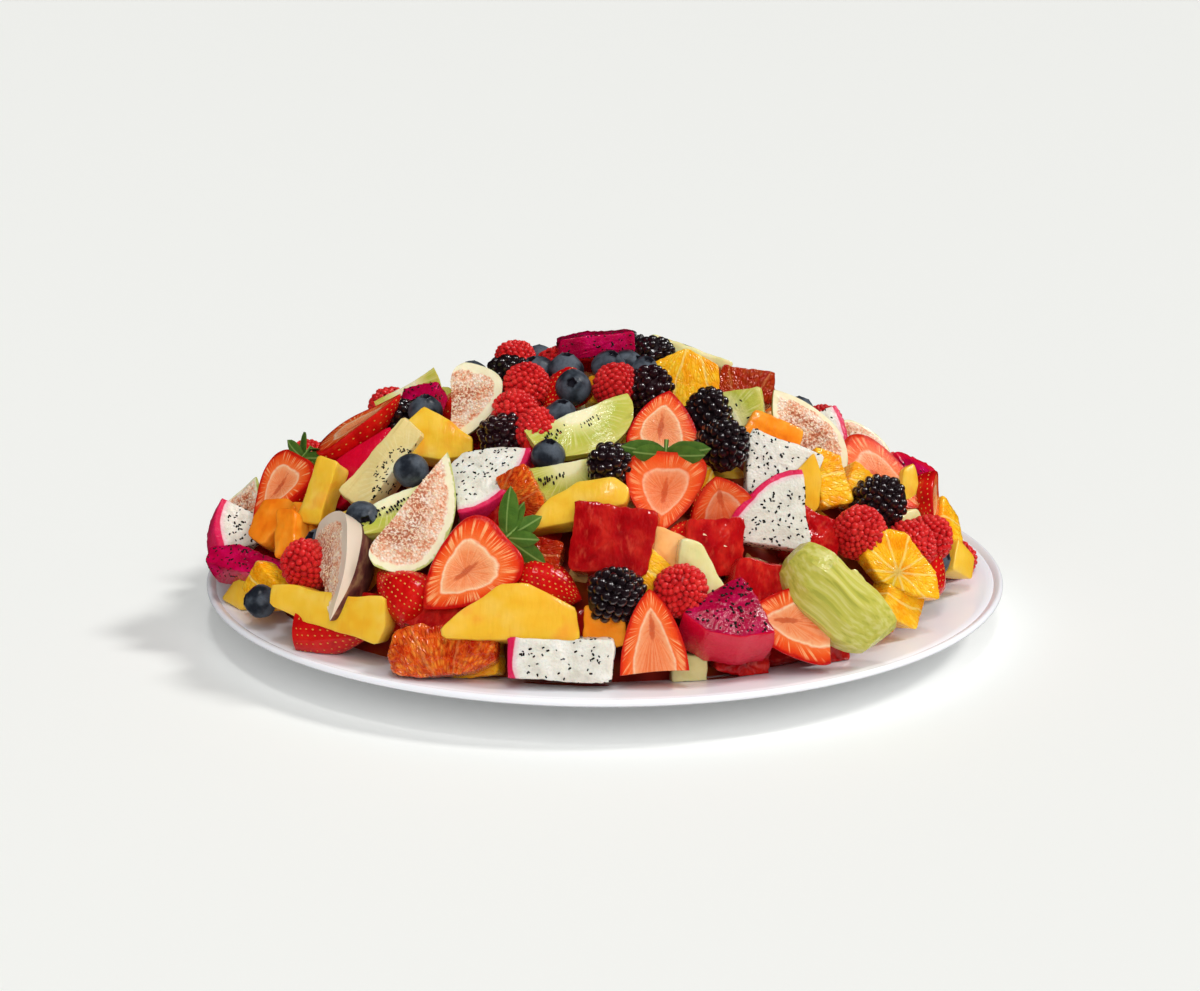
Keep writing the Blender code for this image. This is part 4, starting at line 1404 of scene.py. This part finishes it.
def place_oranges():
    six = [(-18, 7), (-10, -14), (4, -18), (17, -9), (17, 7), (1, 16)]
    orange(at(39, -27, 123, 2, 30, 0, reach=16), six, 11, origin=(-4, -24, 0))
    orange(spot(107, 85, 22, 30, -20, sink=-1), [(-9, -14), (8, -15), (10, 8), (-2, 16)], 14, origin=(24, 0, 0))
    orange(spot(123, 80, 36, 24, 10, sink=1), [(-7, -10), (7, -10), (9, 6), (-4, 11)], 14, origin=(24, 0, 0))
    wheel = [(-20, 3), (-12, 16), (2, 15), (17, -2), (19, -15), (4, -14), (-10, -9)]
    orange(spot(134, 49, 20, 24, 0, sink=-7, reach=19), wheel, 12, origin=(3, 4, 0))
    orange(spot(138, 36, 38, 16, 12, sink=0, reach=14), [(-12, -10), (12, -8), (13, 8), (-10, 10)], 14, origin=(20, 0, 0))
    orange(at(172, -22, 50, 60, 30, 0), [(-9, -12), (8, -12), (10, 6), (-3, 13)], 13, origin=(22, 0, 0))
    orange(spot(20, 64, 2, 26, 30, sink=1, reach=12), [(-12, -8), (11, -9), (12, 7), (-9, 10)], 14, origin=(24, 0, 0))
    orange(spot(-164, 38, -50, 20, 40, sink=0, reach=12), [(-10, -8), (10, -9), (10, 7), (-9, 9)], 13, origin=(20, 0, 0))
    orange(at(2, -36, 121, 0, 40, 0, reach=11), [(-11, -8), (11, -8), (10, 8), (-10, 8)], 12, origin=(20, 0, 0))
    orange(spot(-60, 30, -14, 20, 0, sink=8, reach=12), [(-12, -8), (11, -9), (12, 7), (-9, 10)], 14, origin=(24, 0, 0))
    block = [(-14, -9), (14, -9), (14, 8), (-13, 9)]
    orange(at(70, -12, 118, 10, 30, 5), block, 18, blood=True, tone=1.0, origin=(0, 24, 0))
    lumpy = [(-25, 0), (-21, 10), (-8, 12), (-4, 9), (20, 11), (25, 4), (24, -9), (12, -13), (-10, -12), (-23, -9)]
    orange(spot(-70, 32, -10, 24, -4, sink=-5, reach=20), lumpy, 16, blood=True, origin=(0, 26, 0))
    orange(spot(-37, 89, -12, 20, -25, sink=2, reach=14), [(-8, -16), (8, -15), (8, 15), (-7, 16)], 14, blood=True,
           origin=(18, 0, 0))
    jelly = [(-9, -8), (8, -9), (9, 7), (-8, 9)]
    orange(spot(-28, 70, -6, 30, 10, sink=1, reach=13), jelly, 14, blood=True, tone=1.0, origin=(18, 0, 0))


def place_melons():
    papaya(at(-161, -58, 62, -34, 40, 20), [(-11, -12), (2, -14), (11, 8), (3, 11), (-10, 8)], 16)
    papaya(at(-146, -64, 60, -26, 22, 0, reach=11), [(-8, -11), (2, -14), (7, -8), (7, 10), (-4, 12)], 14)
    papaya(at(80, -60, 105, 10, 34, 20), [(-14, -8), (14, -8), (13, 8), (-13, 9)], 16)
    papaya(spot(0, 44, 0, 18, 0, sink=0, reach=12), [(-10, -9), (9, -9), (9, 8), (-9, 9)], 14)
    papaya(spot(24, 73, 6, 24, 20, sink=3), [(-13, -9), (13, -8), (11, 9), (-12, 8)], 14, melon=True)
    slip = [(-12, 17), (-3, 16), (10, -1), (13, -15), (2, -18), (-12, -6)]
    honeydew(spot(42, 59, 8, 20, 6, sink=-2, reach=15), slip, 13)
    honeydew(spot(40, 24, 4, 10, 0, sink=13, reach=10), [(-8, -7), (8, -7), (8, 7), (-8, 6)], 12)
    watermelon(spot(66, 26, 12, 14, 10, sink=12, reach=14), [(-13, -7), (13, -7), (11, 8), (-12, 8)], 16)
    honeydew(spot(150, 60, 40, 20, 60, sink=3, reach=10), [(-8, -8), (8, -8), (8, 8), (-7, 7)], 12)
    thin = [(-24, -3), (22, -5), (24, 0), (-20, 5)]
    honeydew(at(42, 16, 128, 4, 20, 12), thin, 14)


def places_kept_free():
    """Dark gaps between the placed pieces, and the open plate beside them, where chance puts nothing on top."""
    rooms = []
    for x, height, reach in (
        (-66, 58, 12), (-92, 58, 12), (-38, 70, 10), (150, 28, 12), (-66, 92, 10), (70, 66, 10), (62, 93, 10), (13, 88, 8),
    ):
        rooms.append((on_heap(x, height), reach * MM))
    for x, y, reach in (
        (-64, 6, 16), (-84, 0, 14), (-142, 6, 14), (-44, 14, 14), (56, 10, 14), (86, 6, 12), (-107, 33, 14),
        (-122, 0, 12), (-134, 0, 12), (-118, 33, 12), (78, 33, 14), (100, 35, 12), (25, -6, 10), (58, 30, 12),
    ):
        rooms.append((Vector((x * MM, y * MM, heap_height(x * MM, y * MM))), reach * MM))
    return rooms


def place_front():
    """All of the above."""
    place_strawberries()
    place_berries()
    place_mangoes()
    place_pitayas()
    place_figs()
    place_kiwis()
    place_watermelons()
    place_oranges()
    place_melons()


# ---------------------------------------------------------------- the pieces that chance places


def any_chunk(generator, width=(26, 36), height=(20, 28)):
    return uneven_loop(generator.uniform(*width), generator.uniform(*height), generator.integers(4, 7), generator)


def any_pitaya(matrix, red):
    start = rng.uniform(0, 300)
    corners = sector(39, start, start + rng.uniform(55, 80), inner=rng.choice([0, 8, 14]), steps=7)
    pitaya_slice(matrix, corners, rng.uniform(11, 16), red=red, seeds=60)


def any_kiwi(matrix):
    side = rng.choice([-1, 1])
    corners = [(-8, -20), (8, -20), (9, 4), (6, 20), (-7, 21)]
    kiwi_piece(matrix, corners, rng.uniform(10, 15), golden=rng.uniform() < 0.2, origin=(side * 9, 0, 0), seeds=36)


def any_half_strawberry(matrix):
    length = rng.uniform(30, 44)
    sepals = chance_sepals() if matrix.translation.y > BACK_SLOPE and rng.uniform() < 0.4 else ()
    strawberry(matrix, length, length * rng.uniform(0.76, 0.9), sepals, skin_rows=12, samples=37)


# What chance puts on top, how often, and how much room it needs in millimetres.
TOP_CHOICES = (
    (0.13, 16, lambda m: watermelon(m, any_chunk(rng), rng.uniform(16, 22), 2)),
    (0.14, 16, lambda m: mango(m, any_chunk(rng, (30, 44), (18, 26)), rng.uniform(12, 16))),
    (0.14, 16, any_half_strawberry),
    (0.10, 15, lambda m: orange(m, any_chunk(rng), rng.uniform(10, 14), origin=(rng.uniform(5, 26), 0, 0))),
    (0.05, 15, lambda m: orange(m, any_chunk(rng), rng.uniform(12, 16), blood=True, origin=(20, 0, 0))),
    (0.07, 15, lambda m: papaya(m, any_chunk(rng), rng.uniform(13, 17))),
    (0.04, 15, lambda m: honeydew(m, any_chunk(rng), rng.uniform(12, 15))),
    (0.07, 16, lambda m: any_pitaya(m, False)),
    (0.05, 16, lambda m: any_pitaya(m, True)),
    (0.06, 16, any_kiwi),
    (0.04, 17, lambda m: fig_piece(m, rng.uniform(42, 54), rng.uniform(26, 31), purple=rng.uniform() < 0.4)),
)
BERRY_CHOICES = (
    (0.42, 11, lambda m: raspberry(m, rng.uniform(20, 23), rng.uniform(19, 22), fine=False)),
    (0.26, 12, lambda m: bramble(m, rng.uniform(23, 27), rng.uniform(19, 22), fine=False)),
    (0.32, 9, lambda m: blueberry(m, rng.uniform(15, 19))),
)
BELOW_CHOICES = (
    (0.3, 15, lambda m: watermelon(m, any_chunk(rng), rng.uniform(16, 22), 1)),
    (0.22, 15, lambda m: mango(m, any_chunk(rng), rng.uniform(12, 16))),
    (0.2, 15, lambda m: papaya(m, any_chunk(rng), rng.uniform(13, 17))),
    (0.12, 15, lambda m: honeydew(m, any_chunk(rng), rng.uniform(12, 15))),
    (0.16, 15, lambda m: papaya(m, any_chunk(rng), rng.uniform(13, 17), melon=True)),
)


def choose(choices, chance):
    shares = np.array([choice[0] for choice in choices])
    return choices[chance.choice(len(choices), p=shares / shares.sum())]


def free(point, reach, others, overlap):
    return all((point - other).length > (reach + room) * overlap for other, room in others)


def strew(choices, tries, inset, overlap, others, seed, tilt=24, rooms=(), nearest=-1.0):
    """Drops pieces of chance on a dome that lies inset below the heap's, wherever the others and the rooms kept
    free leave a place, and no nearer to the viewer than asked."""
    chance = np.random.default_rng(seed)
    for _ in range(tries):
        share = math.sqrt(chance.uniform(0, 0.97))
        angle = chance.uniform(0, 2 * math.pi)
        turns = chance.uniform(-tilt, tilt, 2)
        roll = chance.uniform(0, 360)
        x = HEAP_CENTRE_X + (HEAP_HALF_WIDTH - inset) * share * math.cos(angle)
        y = (HEAP_HALF_DEPTH - inset) * share * math.sin(angle)
        _, reach, make = choose(choices, chance)
        height = max(heap_height(x, y, inset), FLOOR_HEIGHT + 0.5 * reach * MM)
        point = Vector((x, y, height))
        if y < nearest or not free(point, reach * MM, [*others, *rooms], overlap):
            continue
        others.append((point, reach * MM))
        normal = heap_normal(x, y)
        if y < RIDGE:
            point = point - normal * FRONT_SINK * MM
        yaw = math.degrees(math.atan2(normal.x, -normal.y)) + turns[0]
        pitch = math.degrees(math.asin(normal.z)) * 0.85 + turns[1] * 0.8
        make(facing(point, yaw, min(pitch, 88), roll))


# ---------------------------------------------------------------- plate, core, juice


def lip_arc(centre, radius, start, end, steps):
    angles = np.radians(np.linspace(start, end, steps + 1))
    return [(centre[0] + radius * math.cos(a), centre[1] + radius * math.sin(a)) for a in angles]


def plate_profile():
    """Radius and height from the middle of the floor over the lip to the middle underneath."""
    lip_radius = RIM_EDGE / 2
    lip_centre = (PLATE_RADIUS - lip_radius, RIM_HEIGHT - lip_radius)
    lip = PLATE_RADIUS - LIP_WIDTH
    under = FLOOR_HEIGHT - WALL
    points = [(0, FLOOR_HEIGHT)] + [(SLOPE_RADIUS * share, FLOOR_HEIGHT) for share in (0.4, 0.7, 0.9, 0.97)]
    for t in np.linspace(0, 1, 13):
        rise = (SLOPE_TOP - FLOOR_HEIGHT) * t * (1.6 - 0.6 * t)
        points.append((SLOPE_RADIUS + (lip - SLOPE_RADIUS) * t, FLOOR_HEIGHT + rise))
    points += [(lip + 0.3 * MM, SLOPE_TOP - 0.25 * MM), (lip + 0.7 * MM, SLOPE_TOP + 0.15 * MM)]
    points += lip_arc(lip_centre, lip_radius, 112, -62, 14)
    points += [(lip - 0.2 * MM, RIM_HEIGHT - RIM_EDGE - 1.8 * MM), (SLOPE_RADIUS + 4 * MM, under)]
    points += [(FOOT_OUTER_RADIUS + 2 * MM, under), (FOOT_OUTER_RADIUS + 0.6 * MM, 0.6 * MM)]
    points += [(FOOT_OUTER_RADIUS, 0), (FOOT_OUTER_RADIUS - FOOT_WIDTH, 0)]
    points += [(FOOT_OUTER_RADIUS - FOOT_WIDTH - 2 * MM, under - MM), (0, under - MM)]
    return np.array(points)


def make_plate():
    profile = plate_profile()
    Kind("serving_plate", "plate_white", plate_white()).add(turned(profile[:, 0], profile[:, 1], PLATE_STEPS))


def make_core():
    """The dark middle of the heap, a dome inside the layers of pieces, flat underneath."""
    steps, levels = 120, 34
    angles = np.arange(steps) * 2 * math.pi / steps
    rings = []
    for share in np.linspace(0, 1, levels):
        x = HEAP_CENTRE_X + (HEAP_HALF_WIDTH - CORE_INSET) * share * np.cos(angles)
        y = (HEAP_HALF_DEPTH - CORE_INSET) * share * np.sin(angles)
        heights = [heap_height(a, b, CORE_INSET) for a, b in zip(x * 0.9999, y * 0.9999)]
        rings.append(np.column_stack([x, y, heights]))
    for share in (0.5, 0):
        ring = rings[levels - 1].copy()
        ring[:, 0] = HEAP_CENTRE_X + (ring[:, 0] - HEAP_CENTRE_X) * share
        ring[:, 1] *= share
        ring[:, 2] = FLOOR_HEIGHT + 0.4 * MM
        rings.append(ring)
    rings[levels - 1][:, 2] = FLOOR_HEIGHT + 0.4 * MM
    form = loft(rings, [0] * (len(rings) - 1))
    lumps = waves(form.points, 22 * MM, rng, 10) * (form.points[:, 2] > FLOOR_HEIGHT + 4 * MM)
    form.points += point_normals(form) * (lumps * 1.6 * MM)[:, None]
    Kind("fruit_core", "fruit_mixed", core_dark()).add(form)


def make_juice():
    """Thin pools of pink juice that have run out on the plate around the fruit."""
    kind = Kind("juice_pools", "juice", juice_film())
    for angle, out, width, height in (
        (-140, 150, 30, 9), (-118, 160, 36, 8), (-96, 166, 42, 7), (-70, 163, 40, 8), (-50, 152, 26, 9),
        (-25, 160, 22, 8), (-165, 164, 20, 7), (60, 160, 30, 8), (120, 158, 34, 9),
    ):
        turn = math.radians(angle)
        corners = uneven_loop(width, height, 9, rng)
        form = slab(rounded(corners, 3, 40), 0.35 * MM, edge=0.15, face_rings=3, side_rows=1)
        bend(form, 1.0 * MM, 20 * MM, rng)
        form.points[:, 2] = np.clip(form.points[:, 2], -0.35 * MM, 0)
        radius = out * MM
        lean = math.atan(slope_at(radius))
        matrix = Matrix.Translation((radius * math.cos(turn), radius * math.sin(turn), plate_height(radius) + 0.3 * MM))
        matrix = matrix @ Matrix.Rotation(turn + math.pi / 2, 4, "Z") @ Matrix.Rotation(-lean, 4, "X")
        kind.add(form, matrix)


def slope_at(radius):
    step = 0.5 * MM
    return (plate_height(radius + step) - plate_height(radius - step)) / (2 * step)


# ---------------------------------------------------------------- floor, light, camera

# The paper sweep glows faintly of its own, painted light which keeps the shadow under the rim pale.
FLOOR_GLOW = 0.09


def make_stage():
    bpy.ops.mesh.primitive_plane_add(size=40, location=(0, 8, 0))
    floor = bpy.context.object
    floor.name = "floor"
    material = bpy.data.materials.new("floor")
    material.use_nodes = True
    shader = material.node_tree.nodes["Principled BSDF"]
    shader.inputs["Base Color"].default_value = rgb(238, 239, 236)
    shader.inputs["Roughness"].default_value = 0.7
    shader.inputs["Specular IOR Level"].default_value = 0.1
    # Painted light: the floor glows faintly, which lifts its shadows.
    shader.inputs["Emission Color"].default_value = rgb(238, 239, 236)
    shader.inputs["Emission Strength"].default_value = FLOOR_GLOW
    floor.visible_glossy = False
    floor.data.materials.append(material)


def add_sun(name, strength, spread, azimuth, elevation, colour=(1, 1, 1), mirrored=True):
    """A soft light from an azimuth, clockwise from +Y seen from above, and an elevation, in degrees."""
    light = bpy.data.lights.new(name, "SUN")
    light.energy = strength
    light.angle = math.radians(spread)
    light.color = colour
    lamp = bpy.data.objects.new(name, light)
    turn, rise = math.radians(azimuth), math.radians(elevation)
    toward = Vector((math.sin(turn) * math.cos(rise), math.cos(turn) * math.cos(rise), math.sin(rise)))
    lamp.rotation_euler = toward.to_track_quat("Z", "Y").to_euler()
    lamp.location = toward * 2
    lamp.visible_glossy = mirrored
    bpy.context.scene.collection.objects.link(lamp)


def make_light():
    world = bpy.data.worlds.new("studio")
    world.use_nodes = True
    world.node_tree.nodes["Background"].inputs["Color"].default_value = (1, 1, 1, 1)
    world.node_tree.nodes["Background"].inputs["Strength"].default_value = 0.15
    world.cycles_visibility.glossy = False
    bpy.context.scene.world = world
    add_sun("key", 1.45, 13, 84, 48, (1, 0.99, 0.97))
    add_sun("gleam", 0.5, 9, 168, 74)
    add_sun("front", 1.25, 50, 168, 42, mirrored=False)
    add_sun("low_front", 0.75, 50, 186, 12, mirrored=False)


def make_camera():
    camera = bpy.data.cameras.new("camera")
    camera.lens = CAMERA_LENS
    camera.sensor_width = 36
    camera.clip_end = 100
    shown = bpy.data.objects.new("camera", camera)
    shown.location = CAMERA_PLACE
    shown.rotation_euler = (math.radians(90 - CAMERA_DOWN), 0, math.radians(CAMERA_LEFT))
    bpy.context.scene.collection.objects.link(shown)
    bpy.context.scene.camera = shown
    bpy.context.scene.view_settings.view_transform = "Standard"


def main():
    make_camera()
    make_light()
    make_stage()
    make_kinds()
    make_core()
    place_front()
    rooms = places_kept_free()
    strew(BERRY_CHOICES, 60, 0.004, 0.9, taken, seed=1, rooms=rooms)
    strew(TOP_CHOICES, 2600, 0.003, 0.74, taken, seed=2, rooms=rooms)
    strew(BERRY_CHOICES, 900, 0.004, 0.74, taken, seed=3, rooms=rooms)
    strew(BELOW_CHOICES, 2400, 0.012, 0.56, taken, seed=5, tilt=40, nearest=-0.012)
    strew(BELOW_CHOICES, 1800, 0.019, 0.80, [], seed=4, tilt=40)
    make_juice()
    make_plate()
    for kind in Kind.made.values():
        piece = kind.build()
        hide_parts("plate" if kind.name in ("serving_plate", "juice_pools") else "fruit_heap")


main()
